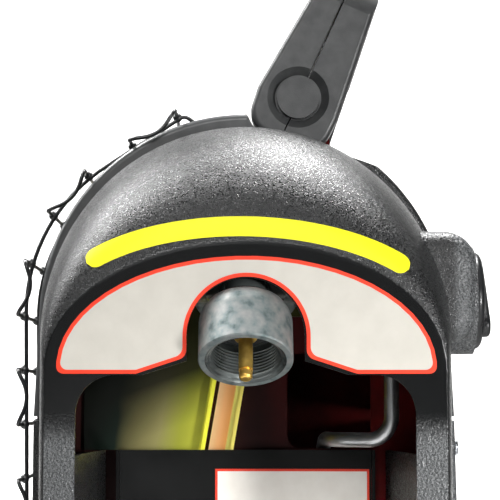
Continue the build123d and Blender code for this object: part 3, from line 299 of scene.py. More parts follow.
def yellow_chromate_zinc():
    # Yellow passivated zinc on folded sheet: the film runs from dark green through olive and straw.
    # Its far end is painted nearly black as painted shade, its top is painted dark as a painted
    # shadow, and the lemon lip at the fold is a painted highlight.
    material, tree, shader, place = surface(
        "yellow_chromate_zinc", {"Roughness": 0.34, "Metallic": 0.6}
    )
    ends = BRACKET_SHADED_END_MM, BRACKET_LIP_MM
    # The darkest stops at the far end are painted shade.
    film = add(tree, RAMP, {"Fac": across_bracket(tree, place, *ends, wobble_mm=1.4)}, (
        (0.0, "#040604"), (0.27, "#11231A"), (0.41, "#767047"),
        (0.62, "#A39C62"), (0.8, "#ABAE3C"), (0.97, "#C6C83E"),
    ))
    # Painted shadow: the top of the bracket is mixed towards near black.
    rise = add(tree, VECTOR_MATH, {0: place, 1: (0.0, -SHADOW_SLOPE, 1.0)}, operation="DOT_PRODUCT")
    painted_shadow = add(tree, RANGE, {
        "Value": rise, "From Min": SHADOW_LOW_Z, "From Max": SHADOW_HIGH_Z, "To Max": 0.93,
    })
    film = add(tree, MIX, {
        FACTOR: painted_shadow, FIRST_COLOUR: film, SECOND_COLOUR: linear("#070A04"),
    }, data_type="RGBA")
    edge = add(tree, RANGE, {
        "Value": across_bracket(tree, place, *ends), "From Min": LIP_LOW, "From Max": LIP_HIGH,
    })
    below_shadow = add(tree, RANGE, {
        "Value": add(tree, AXES, {"Vector": place}).outputs["Z"],
        "From Min": LIP_LOW_Z, "From Max": LIP_HIGH_Z, "To Min": 1.0, "To Max": 0.0,
    })
    # The lemon lip is a painted highlight.
    lip_highlight = add(tree, MATH, {0: edge, 1: below_shadow}, operation="MULTIPLY")
    smears = add(tree, NOISE, {"Vector": place, "Scale": 1 / (9.0 * MM), "Detail": 2.0})
    connect(tree, shader, {
        "Base Color": add(tree, MIX, {
            FACTOR: lip_highlight, FIRST_COLOUR: film, SECOND_COLOUR: linear("#FFFB4A"),
        }, data_type="RGBA"),
        "Roughness": add(tree, RANGE, {
            "Value": smears, "From Min": CLOUD_LOW, "From Max": CLOUD_HIGH,
            "To Min": 0.28, "To Max": 0.42,
        }),
        "Normal": thin_plating_grain(tree, place),
    })
    return material


def pink_chromate_zinc():
    # The same plating on the strap, thinner: brownish pink and orange, with a straw-bright painted
    # highlight along its folded edge.
    material, tree, shader, place = surface(
        "pink_chromate_zinc", {"Roughness": 0.34, "Metallic": 0.6}
    )
    # The last two stops, straw-bright, are a painted highlight along the folded edge.
    film = add(tree, RAMP, {
        "Fac": across_bracket(tree, place, STRAP_START_MM, STRAP_END_MM),
    }, (
        (0.0, "#E2BE90"), (0.35, "#EAAC72"), (0.66, "#DF984E"), (0.72, "#FFF684"), (1.0, "#FFEC74"),
    ))
    connect(tree, shader, {"Base Color": film, "Normal": thin_plating_grain(tree, place)})
    return material


MOUTH_FADE = 0.2 * MM


def from_inlet_axis(tree, place):
    """Distance from the axis of the swung-out inlet."""
    centred = add(tree, MAPPING, {"Vector": place, "Location": -SWIVEL})
    upright = add(tree, MAPPING, {"Vector": centred, "Rotation": (0, SWING_OUT, 0)})
    flattened = add(tree, MAPPING, {"Vector": upright, "Scale": (1, 1, 0)})
    return add(tree, VECTOR_MATH, {0: flattened}, operation="LENGTH")


def die_cast_zinc():
    # Zinc die casting with a grey tumbled skin, mottled by darker oxide 2 to 5 mm across; the bore
    # and its lead-in are machined, so they are shinier, and they are coloured darker.
    material, tree, shader, place = surface("die_cast_zinc", {"Roughness": 0.55, "Metallic": 0.65})
    patches = add(tree, NOISE, {"Vector": place, "Scale": 1 / (4.2 * MM), "Detail": 5.0})
    pits = add(tree, NOISE, {"Vector": place, "Scale": 1 / (0.6 * MM), "Detail": 2.0})
    skin = add(tree, RAMP, {"Fac": patches}, (
        (0.3, "#4E5B5C"), (0.44, "#6E7777"), (0.58, "#7F8382"), (0.72, "#8D8C8A"),
    ))
    bored = add(tree, RANGE, {
        "Value": from_inlet_axis(tree, place),
        "From Min": MOUTH_R, "From Max": MOUTH_R + MOUTH_FADE, "To Min": 1.0, "To Max": 0.0,
    })
    tumbled = add(tree, RANGE, {
        "Value": patches, "From Min": CLOUD_LOW, "From Max": CLOUD_HIGH,
        "To Min": 0.66, "To Max": 0.54,
    })
    uneven = add(tree, BUMP, {"Height": patches, "Distance": 0.05 * MM, "Strength": 0.5})
    connect(tree, shader, {
        "Base Color": add(tree, MIX, {
            FACTOR: bored, FIRST_COLOUR: skin, SECOND_COLOUR: linear("#5D6261"),
        }, data_type="RGBA"),
        "Roughness": add(tree, MIX, {
            FACTOR: bored, FIRST_VALUE: tumbled, SECOND_VALUE: 0.24,
        }, data_type="FLOAT"),
        "Normal": add(tree, BUMP, {
            "Height": pits, "Distance": 0.04 * MM, "Strength": 0.6, "Normal": uneven,
        }),
    })
    return material


# A port's rim, from inside to outside, in parts of the distance from one port to the next.
PORT_INNER, PORT_OUTER = 0.24, 0.32


def cordierite_tile():
    # Pressed ceramic burner tile: chalky, pierced by rows of 1 mm ports 2 mm apart; the ports are
    # painted dark brown as painted shade inside them.
    material, tree, shader, place = surface("cordierite_tile", {"Roughness": 0.9, "IOR": 1.5})
    through = add(tree, MAPPING, {"Vector": place, "Scale": (1.0, 0.0, 1.0)})
    ports = add(tree, CELLS, {"Vector": through, "Scale": 1 / (2.0 * MM), "Randomness": 0.0})
    wall = add(tree, RANGE, {
        "Value": ports.outputs["Distance"], "From Min": PORT_INNER, "From Max": PORT_OUTER,
    })
    cloud = add(tree, NOISE, {"Vector": place, "Scale": 1 / (6.0 * MM), "Detail": 3.0})
    body = add(tree, RAMP, {"Fac": cloud}, ((CLOUD_LOW, "#CFC6B4"), (CLOUD_HIGH, "#E4DDCE")))
    connect(tree, shader, {
        # Dark ports: painted shade.
        "Base Color": add(tree, MIX, {
            FACTOR: wall, FIRST_COLOUR: linear("#2A2521"), SECOND_COLOUR: body,
        }, data_type="RGBA"),
        "Normal": add(tree, BUMP, {"Height": wall, "Distance": 0.6 * MM, "Strength": 0.8}),
    })
    return material


def printed_vinyl(name, colours):
    """Laminated vinyl sticker: flat ink under a satin film with a faint orange peel."""
    return mottled(
        name, {"Roughness": 0.5, "IOR": 1.45}, cloud_mm=8.0, detail=3.0, colours=colours,
        skin=(1.2, 1.0, 0.02, 0.3),
    )


body_plastic = moulded_spark_textured_abs()
# The hood's plainer tool: satin ABS, painted a shade greyer than the caps as painted light, for
# the light its rounded edge catches.
hood_plastic = mottled(
    "moulded_smooth_abs", {"Roughness": 0.36, "IOR": 1.54}, cloud_mm=9.0, detail=3.0,
    colours=("#353637", "#484949"), roughness=(0.42, 0.32), skin=(0.5, 0.0, 0.03, 0.6),
)
# Glass-filled nylon handle: black gone grey in soft 3 to 6 mm blotches where fibres lie near the
# skin.
handle_plastic = mottled(
    "moulded_satin_nylon", {"Roughness": 0.42, "IOR": 1.53}, cloud_mm=5.0, detail=2.5,
    colours=("#343536", "#444545"), roughness=(0.42, 0.37), skin=(0.5, 1.0, 0.06, 0.7),
)
# Knob of polished-tool ABS, smoother than the body so fingers leave faint dull patches.
knob_plastic = mottled(
    "moulded_gloss_knob", {"Roughness": 0.3, "IOR": 1.54, "Specular IOR Level": 0.35},
    cloud_mm=6.0, detail=3.0, colours=("#0E0F10", "#17181A"), roughness=(0.24, 0.42),
    skin=(0.5, 1.0, 0.03, 0.5),
)
# Powder-coated steel at the back of the recess: orange peel 1.5 mm across over dull grey-black.
recess_coat = mottled(
    "satin_black_powder_coat", {"Roughness": 0.42, "Specular IOR Level": 0.14},
    cloud_mm=18.0, detail=3.0, colours=("#030404", "#0C0D0D"), roughness=(0.38, 0.48),
    skin=(1.5, 1.0, 0.05, 0.6),
)
red_enamel = dark_red_enamel()
# Moulded rubber feet and seal: dull, with a bloom that greys the surface.
rubber = mottled(
    "natural_rubber", {"Roughness": 0.82, "IOR": 1.52}, cloud_mm=3.0, detail=4.0,
    colours=("#131314", "#242425"), skin=(0.5, 2.0, 0.05, 0.5),
)
# Rolled stainless reflector: bright, with straw-coloured heat tint. Its rolling lines are 0.3 mm
# apart, and are drawn at 0.6 mm so that they show.
stainless = lined_metal(
    "polished_stainless", {"Roughness": 0.16, "Metallic": 1.0}, cloud_mm=40.0,
    stops=((0.35, "#C9CACB"), (CLOUD_HIGH, "#C7B999")), line_mm=0.6, detail=2.0,
    stretch=(0.02, 1.0, 1.0), roughness=(0.12, 0.28), relief=(0.01, 0.4),
)
# Bright zinc on fasteners and small brackets: grey-blue, slightly cloudy.
zinc_plate = mottled(
    "bright_zinc_plate", {"Roughness": 0.28, "Metallic": 1.0}, cloud_mm=2.5, detail=3.0,
    colours=("#A9ADB2", "#C4C7CB"), roughness=(0.22, 0.4),
)
chromate = yellow_chromate_zinc()
strap_chromate = pink_chromate_zinc()
cast_zinc = die_cast_zinc()
# Turned brass: tool marks 0.2 mm apart round the axis, drawn at 0.5 mm so that they show.
brass = lined_metal(
    "machined_brass", {"Roughness": 0.34, "Metallic": 0.85}, cloud_mm=5.0,
    stops=((CLOUD_LOW, "#C79A45"), (CLOUD_HIGH, "#F2CC6C")), line_mm=0.5, detail=0.0,
    stretch=(0.3, 0.3, 1.0), roughness=(0.28, 0.42), relief=(0.004, 0.3),
)
# Bare drawn tube and pressed sheet: pale, with clouds of light oxide over a fine grain.
aluminium = mottled(
    "drawn_aluminium", {"Roughness": 0.36, "Metallic": 1.0}, cloud_mm=9.0, detail=3.0,
    colours=("#A9ABAC", "#CBCCCD"), roughness=(0.3, 0.46), skin=(0.3, 2.0, 0.01, 0.4),
)
ceramic = cordierite_tile()
# Baked enamel on drawn wire: gloss black, thin on top of the wire.
wire_enamel = mottled(
    "black_wire_enamel", {"Roughness": 0.34, "Coat Weight": 0.3, "Coat Roughness": 0.18},
    cloud_mm=3.0, detail=3.0, colours=("#0E0E10", "#1C1D1F"), skin=(0.7, 1.0, 0.02, 0.5),
)
# Small electrical mouldings: mid grey, matt.
grey_polyamide = mottled(
    "moulded_grey_polyamide", {"Roughness": 0.55, "IOR": 1.53}, cloud_mm=4.0, detail=3.0,
    colours=("#2E2F31", "#3C3D3F"), skin=(0.4, 1.0, 0.04, 0.5),
)
cream_vinyl = printed_vinyl("printed_vinyl_cream", ("#B6B2A9", "#BDB9B0"))
white_vinyl = printed_vinyl("printed_vinyl_white", ("#E9E3DA", "#F1ECE4"))
red_vinyl = printed_vinyl("printed_vinyl_red", ("#E2300F", "#EC3A16"))
yellow_vinyl = printed_vinyl("printed_vinyl_yellow", ("#EFE700", "#F3ED06"))
# Pad-printed ink on the knob: thin, off-white, slightly broken over the grain.
dial_ink = mottled(
    "pad_printed_white", {"Roughness": 0.55}, cloud_mm=0.6, detail=2.0,
    colours=("#B9BBB8", "#E2E3DF"),
)
# Matt white background paper with a faint tooth.
paper = mottled(
    "background_paper", {"Roughness": 0.9}, cloud_mm=300.0, detail=2.0,
    colours=("#F4F4F3", "#F8F8F7"),
)


def finish_with(piece, material):
    """Give every material slot of a piece one material."""
    if not piece.material_slots:
        piece.data.materials.append(material)
    for slot in piece.material_slots:
        slot.material = material


NODE_FINISH = {
    body_plastic: [
        "base_tray", "tank_side_cap", "plain_side_cap", "front_panel", "rear_cover", "rear_panel",
    ],
    hood_plastic: ["front_hood"],
    handle_plastic: ["handle_front_half", "handle_rear_half", "handle_pivot_caps"],
    knob_plastic: ["control_knob"],
    recess_coat: ["recess_panel"],
    red_enamel: ["top_cover", "chassis"],
    rubber: ["rubber_feet", "inlet_seal"],
    stainless: ["reflector", "tile_frame"],
    zinc_plate: ["pilot_bracket", "swing_pivot_pin", "handle_pivot_bolts", "handle_screws"],
    chromate: ["regulator_bracket"],
    strap_chromate: ["bracket_strap"],
    cast_zinc: ["regulator_body", "regulator_bonnet", "inlet_collar"],
    brass: [
        "injector", "pilot_burner", "thermocouple", "control_valve", "inlet_probe", "inlet_seat",
        "valve_cup", "valve_stem",
    ],
    aluminium: [
        "burner_plenum", "venturi_tube", "pilot_tube", "gas_feed_tube", "burner_supply_tube",
    ],
    ceramic: ["ceramic_tile", "spark_electrode"],
    wire_enamel: ["guard_loops", "guard_uprights"],
    grey_polyamide: ["tip_over_switch", "piezo_igniter"],
}
for material, names in NODE_FINISH.items():
    for name in names:
        finish_with(nodes[name], material)


# ---------------------------------------------------------------- modelling helpers

SMOOTH_ANGLE = math.radians(35)


def clear_selection():
    if bpy.context.object and bpy.context.object.mode != "OBJECT":
        bpy.ops.object.mode_set(mode="OBJECT")
    bpy.ops.object.select_all(action="DESELECT")


def pick(piece):
    """Select one piece alone and make it active."""
    clear_selection()
    piece.select_set(True)
    bpy.context.view_layer.objects.active = piece


def named(name):
    """Name the primitive that was just added."""
    piece = bpy.context.object
    piece.name = piece.data.name = name
    return piece


def apply_modifier(piece, kind, **settings):
    """Add one modifier and apply it."""
    bpy.context.view_layer.objects.active = piece
    modifier = piece.modifiers.new(kind.lower(), kind)
    for name, value in settings.items():
        setattr(modifier, name, value)
    bpy.ops.object.modifier_apply(modifier=modifier.name)


def settle(piece):
    """Move the object's place into its mesh."""
    pick(piece)
    bpy.ops.object.transform_apply(location=True, rotation=True, scale=True)


def place_mesh(piece, matrix):
    piece.data.transform(matrix)
    piece.data.update()


def copy_at(piece, name, matrix):
    """A copy of a piece with its own mesh, moved to its place."""
    copy = bpy.data.objects.new(name, piece.data.copy())
    bpy.context.scene.collection.objects.link(copy)
    place_mesh(copy, matrix)
    return copy


def cut(piece, cutter):
    """Take the cutter away from the piece."""
    apply_modifier(piece, "BOOLEAN", object=cutter, operation="DIFFERENCE", solver="EXACT")
    bpy.data.objects.remove(cutter)


def block(low, high):
    """Box between two corners."""
    clear_selection()
    low, high = Vector(low), Vector(high)
    bpy.ops.mesh.primitive_cube_add(size=1.0, location=(low + high) / 2)
    piece = named("block")
    piece.scale = high - low
    settle(piece)
    return piece


def disc_x(radius_y, radius_z, x_low, x_high, y, z, segments=128, turn=0.0):
    """Elliptical disc whose axis is X, its corners turned a little round that axis."""
    clear_selection()
    bpy.ops.mesh.primitive_cylinder_add(
        vertices=segments, radius=1.0, depth=x_high - x_low,
        location=((x_low + x_high) / 2, y, z), rotation=(0, math.pi / 2, 0),
    )
    piece = named("disc")
    settle(piece)
    middle = Vector((0, y, z))
    turned = Matrix.Rotation(turn, 3, "X")
    for vertex in piece.data.vertices:
        offset = turned @ (vertex.co - middle)
        vertex.co = Vector((vertex.co.x, y + offset.y * radius_y, z + offset.z * radius_z))
    return piece


ALONG_X = 0.99
CORNER_ANGLE = math.radians(25)
CORNER_STEPS = 6


def round_corners_x(piece, radius):
    """Round the sharp corners whose edges run along X."""
    clear_selection()
    bpy.context.view_layer.objects.active = piece
    bpy.ops.object.mode_set(mode="EDIT")
    bpy.ops.mesh.select_all(action="DESELECT")
    bpy.ops.object.mode_set(mode="OBJECT")
    normals = {}
    for polygon in piece.data.polygons:
        for key in polygon.edge_keys:
            normals.setdefault(key, []).append(polygon.normal.copy())
    for edge in piece.data.edges:
        start, end = (piece.data.vertices[i].co for i in edge.vertices)
        faces = normals.get(tuple(sorted(edge.vertices)), [])
        along = abs((end - start).normalized().x) > ALONG_X
        edge.select = along and len(faces) == 2 and faces[0].angle(faces[1]) > CORNER_ANGLE
    bpy.ops.object.mode_set(mode="EDIT")
    bpy.ops.mesh.select_mode(type="EDGE")
    bpy.ops.mesh.bevel(offset=radius, segments=CORNER_STEPS)
    bpy.ops.object.mode_set(mode="OBJECT")


def merge_pieces(name, pieces):
    """Join pieces into one mesh."""
    clear_selection()
    for piece in pieces:
        piece.select_set(True)
    bpy.context.view_layer.objects.active = pieces[0]
    bpy.ops.object.join()
    return named(name)


def mount(piece, body, material):
    """Ride on a body, in its finish, with smooth rounds and crisp edges."""
    pick(piece)
    finish_with(piece, material)
    bpy.ops.object.shade_smooth_by_angle(angle=SMOOTH_ANGLE)
    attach(piece, body)


# ---------------------------------------------------------------- label on the cap's face

LABEL_MIDDLE_Y = 0.3 * MM
LABEL_ARC_Z = 215.0 * MM
LABEL_HALF = 65.4 * MM
LABEL_RISE = 38.6 * MM
LABEL_LOW_Z = 213.0 * MM
LABEL_NOTCH_GAP = 0.3 * MM
LABEL_BORDER = 1.35 * MM
LABEL_SHOULDER_Y = 38.0 * MM
LABEL_THROAT_Z = 218.7 * MM
LABEL_CORNER = 2.4 * MM
LABEL_ARC_STEPS = 56
# How far a cutter reaches past what it cuts, and a size wider than the whole label.
CUT_OVER = 5 * MM
CUT_WIDE = 100 * MM


def face_label_shape(name, inset, x_low):
    """Arched sticker round the swing notch; inset leaves room for its printed border."""
    x_high = x_low + LABEL_THICK
    near, far = x_low - CUT_OVER, x_high + CUT_OVER
    # half a step of turn puts an edge, not a corner, where the arch comes down to the foot
    label = disc_x(
        LABEL_HALF - inset, LABEL_RISE - inset, x_low, x_high, LABEL_MIDDLE_Y, LABEL_ARC_Z,
        LABEL_ARC_STEPS, math.pi / LABEL_ARC_STEPS,
    )
    label.name = name
    low_z = LABEL_LOW_Z + inset
    cut(label, block((near, -CUT_WIDE, LABEL_ARC_Z - CUT_WIDE), (far, CUT_WIDE, low_z)))
    notch = NOTCH_R + LABEL_NOTCH_GAP + inset
    cut(label, disc_x(notch, notch, near, far, LABEL_MIDDLE_Y, NOTCH_Z))
    cut(label, block(
        (near, LABEL_MIDDLE_Y - notch, low_z - CUT_OVER), (far, LABEL_MIDDLE_Y + notch, NOTCH_Z)
    ))
    # sloping edges between the straight foot and the throat of the notch
    for side in (-1, 1):
        shoulder_y = LABEL_MIDDLE_Y + side * LABEL_SHOULDER_Y
        throat_y = LABEL_MIDDLE_Y + side * (NOTCH_R + LABEL_NOTCH_GAP)
        shoulder = Vector((x_low, shoulder_y, low_z))
        throat = Vector((x_low, throat_y, LABEL_THROAT_Z + inset))
        slope = math.atan2(throat.z - shoulder.z, throat.y - shoulder.y)
        wedge = block(
            (-CUT_OVER, -1.5 * CUT_OVER, -4 * CUT_OVER), (CUT_OVER, 6 * CUT_OVER, 0.0)
        )
        if side > 0:
            place_mesh(wedge, Matrix.Scale(-1, 4, (0, 1, 0)))
            wedge.data.flip_normals()
            slope += math.pi
        place_mesh(wedge, Matrix.Translation(shoulder) @ Matrix.Rotation(slope, 4, "X"))
        cut(label, wedge)
    round_corners_x(label, LABEL_CORNER)
    return label


# Each layer has its name, how far it is set in, how far it stands off the face, and its vinyl.
for name, inset, seat, vinyl in (
    ("face_label_border", 0.0, 0.02 * MM, red_vinyl),
    ("face_label_field", LABEL_BORDER, 0.06 * MM, cream_vinyl),
):
    mount(face_label_shape(name, inset, FACE_X + seat), "housing", vinyl)


# ---------------------------------------------------------------- stickers laid on curved skins

def laid_sticker(name, columns, rows, shape, onto, proud):
    """Thin sticker: a grid shaped by shape(u, v), u and v from -1 to 1, then laid on a node."""
    clear_selection()
    bpy.ops.mesh.primitive_grid_add(x_subdivisions=columns, y_subdivisions=rows, size=2.0)
    sticker = named(name)
    for vertex in sticker.data.vertices:
        vertex.co = shape(vertex.co.x, vertex.co.y)
    apply_modifier(
        sticker, "SHRINKWRAP", target=nodes[onto], wrap_method="PROJECT", use_project_x=True,
        use_negative_direction=True, use_positive_direction=False, offset=proud,
    )
    apply_modifier(sticker, "SOLIDIFY", thickness=LABEL_THICK, offset=-1.0)
    return sticker


STRIP_TOP_Z = 267.4 * MM
STRIP_HALF = 55.8 * MM
STRIP_WIDTH = 7.0 * MM
STRIP_ARC_HALF = 69.0 * MM
STRIP_ARC_RISE = 33.2 * MM
STRIP_MIDDLE_Y = 0.7 * MM
STRIP_END_ROUND = 3.3 * MM
STRIP_END_NARROWEST = 0.05
STRIP_TILT = 0.019
STRIP_START_X = 175.0 * MM
STRIP_GRID = 180, 8
STRIP_PROUD = 0.16 * MM


def strip_shape(u, v):
    """Arched strip of one width with rounded ends, seen along X."""
    y = u * STRIP_HALF
    root = math.sqrt(1 - (y / STRIP_ARC_HALF) ** 2)
    drop = STRIP_ARC_RISE * (1 - root)
    slope = -STRIP_ARC_RISE * y / STRIP_ARC_HALF ** 2 / root - STRIP_TILT
    end = max(0.0, abs(y) - (STRIP_HALF - STRIP_END_ROUND)) / STRIP_END_ROUND
    half = STRIP_WIDTH / 2 * max(STRIP_END_NARROWEST, math.sqrt(max(0.0, 1 - end * end)))
    middle = Vector((STRIP_START_X, y, STRIP_TOP_Z - STRIP_WIDTH / 2 - drop - STRIP_TILT * y))
    upward = Vector((0, -slope, 1)).normalized()
    return middle + Vector((0, STRIP_MIDDLE_Y, 0)) + upward * (v * half)


dome_strip = laid_sticker("dome_strip", *STRIP_GRID, strip_shape, "tank_side_cap", STRIP_PROUD)
mount(dome_strip, "housing", yellow_vinyl)

PANEL_LABEL_LOW_Y = -11.6 * MM
PANEL_LABEL_HIGH_Y = 47.0 * MM
PANEL_LABEL_TOP_Z = 177.8 * MM
PANEL_LABEL_HEIGHT = 62.0 * MM
PANEL_LABEL_BORDER = 0.9 * MM
PANEL_LABEL_START_X = 120 * MM
PANEL_LABEL_GRID = 40, 8


def panel_label_shape(inset):
    """Upright rectangle, before it is laid on the panel behind it."""
    low_y, high_y = PANEL_LABEL_LOW_Y + inset, PANEL_LABEL_HIGH_Y - inset
    low_z = PANEL_LABEL_TOP_Z - PANEL_LABEL_HEIGHT + inset
    high_z = PANEL_LABEL_TOP_Z - inset

    def shape(u, v):
        y = (low_y + high_y) / 2 + u * (high_y - low_y) / 2
        z = (low_z + high_z) / 2 + v * (high_z - low_z) / 2
        return Vector((PANEL_LABEL_START_X, y, z))

    return shape


for name, inset, proud, vinyl in (
    ("panel_label_border", 0.0, 0.16 * MM, red_vinyl),
    ("panel_label_field", PANEL_LABEL_BORDER, 0.2 * MM, white_vinyl),
):
    shape = panel_label_shape(inset)
    mount(laid_sticker(name, *PANEL_LABEL_GRID, shape, "recess_panel", proud), "housing", vinyl)


# ---------------------------------------------------------------- thread in the inlet collar

THREAD_PITCH = 1.27 * MM
THREAD_TURNS = 9
THREAD_STEPS = 72
THREAD_ROOT = 12.34 * MM
THREAD_TOOTH = 0.62 * MM
TOOTH_R = THREAD_TOOTH * 0.62
TOOTH_SUNK = THREAD_TOOTH * 0.28
THREAD_FIRST = 31.3 * MM
MOUTH_REACH = 43.0 * MM
LEAD_DEPTH = 1.9 * MM
LEAD_SLOPE = (MOUTH_R - BORE_R) / LEAD_DEPTH


def inlet_thread():
    """Right-handed 1 in-20 thread ridge, turned from a three-sided tooth, swung with the inlet."""
    clear_selection()
    bpy.ops.mesh.primitive_circle_add(vertices=3, radius=TOOTH_R, fill_type="NOTHING")
    ridge = named("inlet_thread")
    # the tooth points at the axis, and its flat back sinks into the bore
    upright = Euler((math.pi / 2, 0, 0)).to_matrix().to_4x4()
    start = Matrix.Translation((THREAD_ROOT - TOOTH_SUNK, 0, -THREAD_FIRST))
    place_mesh(ridge, start @ upright @ Matrix.Rotation(math.pi / 2, 4, "Z"))
    apply_modifier(
        ridge, "SCREW", angle=2 * math.pi, screw_offset=-THREAD_PITCH, iterations=THREAD_TURNS,
        steps=THREAD_STEPS, render_steps=THREAD_STEPS, axis="Z", use_merge_vertices=False,
    )
    # the first turns climb the lead-in, which opens from the bore to the mouth
    for vertex in ridge.data.vertices:
        lead = max(0.0, -vertex.co.z - (MOUTH_REACH - LEAD_DEPTH))
        outward = Vector((vertex.co.x, vertex.co.y, 0.0)).normalized()
        vertex.co += outward * (lead * LEAD_SLOPE)
    pick(ridge)
    bpy.ops.object.mode_set(mode="EDIT")
    bpy.ops.mesh.select_all(action="SELECT")
    bpy.ops.mesh.fill_holes(sides=0)
    bpy.ops.mesh.select_all(action="SELECT")
    bpy.ops.mesh.normals_make_consistent(inside=False)
    bpy.ops.object.mode_set(mode="OBJECT")
    place_mesh(ridge, Matrix.Translation(SWIVEL) @ Matrix.Rotation(-SWING_OUT, 4, "Y"))
    return ridge


mount(inlet_thread(), "regulator", cast_zinc)


# ---------------------------------------------------------------- case screws

SCREW_HEAD_R = 3.2 * MM
SCREW_HEAD_HIGH = 1.7 * MM
SCREW_HEAD_SIDES = 32
SCREW_ROUND = 0.8 * MM
SCREW_ROUND_STEPS = 4
SCREW_CROSS_WIDE = 0.9 * MM
SCREW_CROSS_ARM = 1.9 * MM
SCREW_CROSS_DEEP = 0.8 * MM
SCREW_TURN = 0.6


def pan_head():
    """Pan head with a cross recess, its seat at the origin and its top along +Z."""
    clear_selection()
    bpy.ops.mesh.primitive_cylinder_add(
        vertices=SCREW_HEAD_SIDES, radius=SCREW_HEAD_R, depth=SCREW_HEAD_HIGH,
        location=(0, 0, SCREW_HEAD_HIGH / 2),
    )
    head = named("pan_head")
    settle(head)
    apply_modifier(
        head, "BEVEL", width=SCREW_ROUND, segments=SCREW_ROUND_STEPS, limit_method="ANGLE"
    )
    half = SCREW_CROSS_WIDE / 2
    floor_z, over_z = SCREW_HEAD_HIGH - SCREW_CROSS_DEEP, SCREW_HEAD_HIGH + MM
    for angle in (0.0, math.pi / 2):
        slot = block((-SCREW_CROSS_ARM, -half, floor_z), (SCREW_CROSS_ARM, half, over_z))
        place_mesh(slot, Matrix.Rotation(angle, 4, "Z"))
        cut(head, slot)
    return head


def node_surface(node):
    """A node's mesh, ready to be searched for its nearest point or where a line meets it."""
    return BVHTree.FromObject(nodes[node], bpy.context.evaluated_depsgraph_get())


def skin_point(node, start, direction):
    """Where a line from start meets a node, and the outward normal there."""
    hit, normal, _, _ = node_surface(node).ray_cast(Vector(start), Vector(direction))
    if normal.dot(Vector(direction)) > 0:
        normal = -normal
    return hit, normal


def screws(name, node, places, direction):
    """Pan-head screws seated on a node where lines along direction meet it."""
    head = pan_head()
    heads = []
    for index, start in enumerate(places):
        hit, normal = skin_point(node, start, direction)
        facing = normal.to_track_quat("Z", "Y").to_matrix().to_4x4()
        turn = Matrix.Rotation(SCREW_TURN * index, 4, "Z")
        heads.append(copy_at(head, f"{name}_{index}", Matrix.Translation(hit) @ facing @ turn))
    bpy.data.objects.remove(head)
    mount(merge_pieces(name, heads), "housing", zinc_plate)


REAR_SCREW_X = 84 * MM
REAR_SCREW_LOW_Z, REAR_SCREW_HIGH_Z = 36 * MM, 186 * MM
BEHIND_Y = 300 * MM
rear_places = [
    (x, BEHIND_Y, z)
    for x in (-REAR_SCREW_X, REAR_SCREW_X) for z in (REAR_SCREW_LOW_Z, REAR_SCREW_HIGH_Z)
]
screws("rear_screws", "rear_panel", rear_places, (0, -1, 0))


# ---------------------------------------------------------------- welds of the wire guard

WELD_R = 1.9 * MM
WELD_FLAT = 0.62
WELD_SUBDIVISIONS = 2
WELD_GAP = 0.35 * MM
WELD_APART = 4.0 * MM
WELD_SEARCH = 5 * MM


def wire_crossings(first, second):
    """Places where the wires of one node touch those of the other."""
    wires = node_surface(second)
    spots = []
    mesh = nodes[first].data
    for edge in mesh.edges:
        start, end = (mesh.vertices[i].co for i in edge.vertices)
        steps = max(1, math.ceil((end - start).length / MM))
        for step in range(steps):
            near, _, _, gap = wires.find_nearest(start.lerp(end, step / steps), WELD_SEARCH)
            if near is None or gap > WELD_GAP:
                continue
            known = next((spot for spot in spots if (spot[0] - near).length < WELD_APART), None)
            if known is None:
                spots.append([near.copy(), gap])
            elif gap < known[1]:
                known[:] = [near.copy(), gap]
    return [spot[0] for spot in spots]


def guard_welds():
    """Flattened beads of weld metal where the loops cross the uprights."""
    clear_selection()
    bpy.ops.mesh.primitive_ico_sphere_add(subdivisions=WELD_SUBDIVISIONS, radius=WELD_R)
    bead = named("weld_bead")
    flat = Matrix.Diagonal((WELD_FLAT, 1.0, 1.0, 1.0))
    beads = [
        copy_at(bead, f"weld_{index}", Matrix.Translation(spot) @ flat)
        for index, spot in enumerate(wire_crossings("guard_loops", "guard_uprights"))
    ]
    bpy.data.objects.remove(bead)
    return merge_pieces("guard_welds", beads)


mount(guard_welds(), "housing", wire_enamel)


# ---------------------------------------------------------------- knob marks

MARK_R = 12.6 * MM
MARK_SIZE = 3.4 * MM
MARK_THICK = 0.06 * MM
MARK_SEAT = 0.02 * MM
# Each word's place, in degrees up from level on the right as seen from behind. None lies under
# the finger grip.
MARK_PLACES = {"OFF": 115.0, "LO": 3.0, "HI": -36.0, "ON": -77.0}
# The letters face +Y and their right is -X.
MARK_FACING = Matrix(((-1, 0, 0, 0), (0, 0, 1, 0), (0, 1, 0, 0), (0, 0, 0, 1)))


def printed_word(text, spot, angle):
    """Flat printed word on the knob's disc, read from behind the heater."""
    clear_selection()
    bpy.ops.object.text_add()
    letters = bpy.context.object.data
    letters.body = text
    letters.size = MARK_SIZE
    letters.align_x = letters.align_y = "CENTER"
    letters.extrude = MARK_THICK
    bpy.ops.object.convert(target="MESH")
    word = bpy.context.object
    place_mesh(word, Matrix.Translation(spot) @ MARK_FACING @ Matrix.Rotation(angle, 4, "Z"))
    return word


marks = []
for text, degrees in MARK_PLACES.items():
    turn = math.radians(degrees)
    spot = (
        KNOB_X - MARK_R * math.cos(turn), KNOB_DISC_Y + MARK_SEAT, KNOB_Z + MARK_R * math.sin(turn)
    )
    marks.append(printed_word(text, spot, turn - math.pi / 2))
mount(merge_pieces("knob_marks", marks), "knob", dial_ink)


# ---------------------------------------------------------------- studio

STUDIO_SIZE = 60.0
WALL_X = -6.0
WORLD_COLOUR = "#FFFFFF"
WORLD_STRENGTH = 0.13

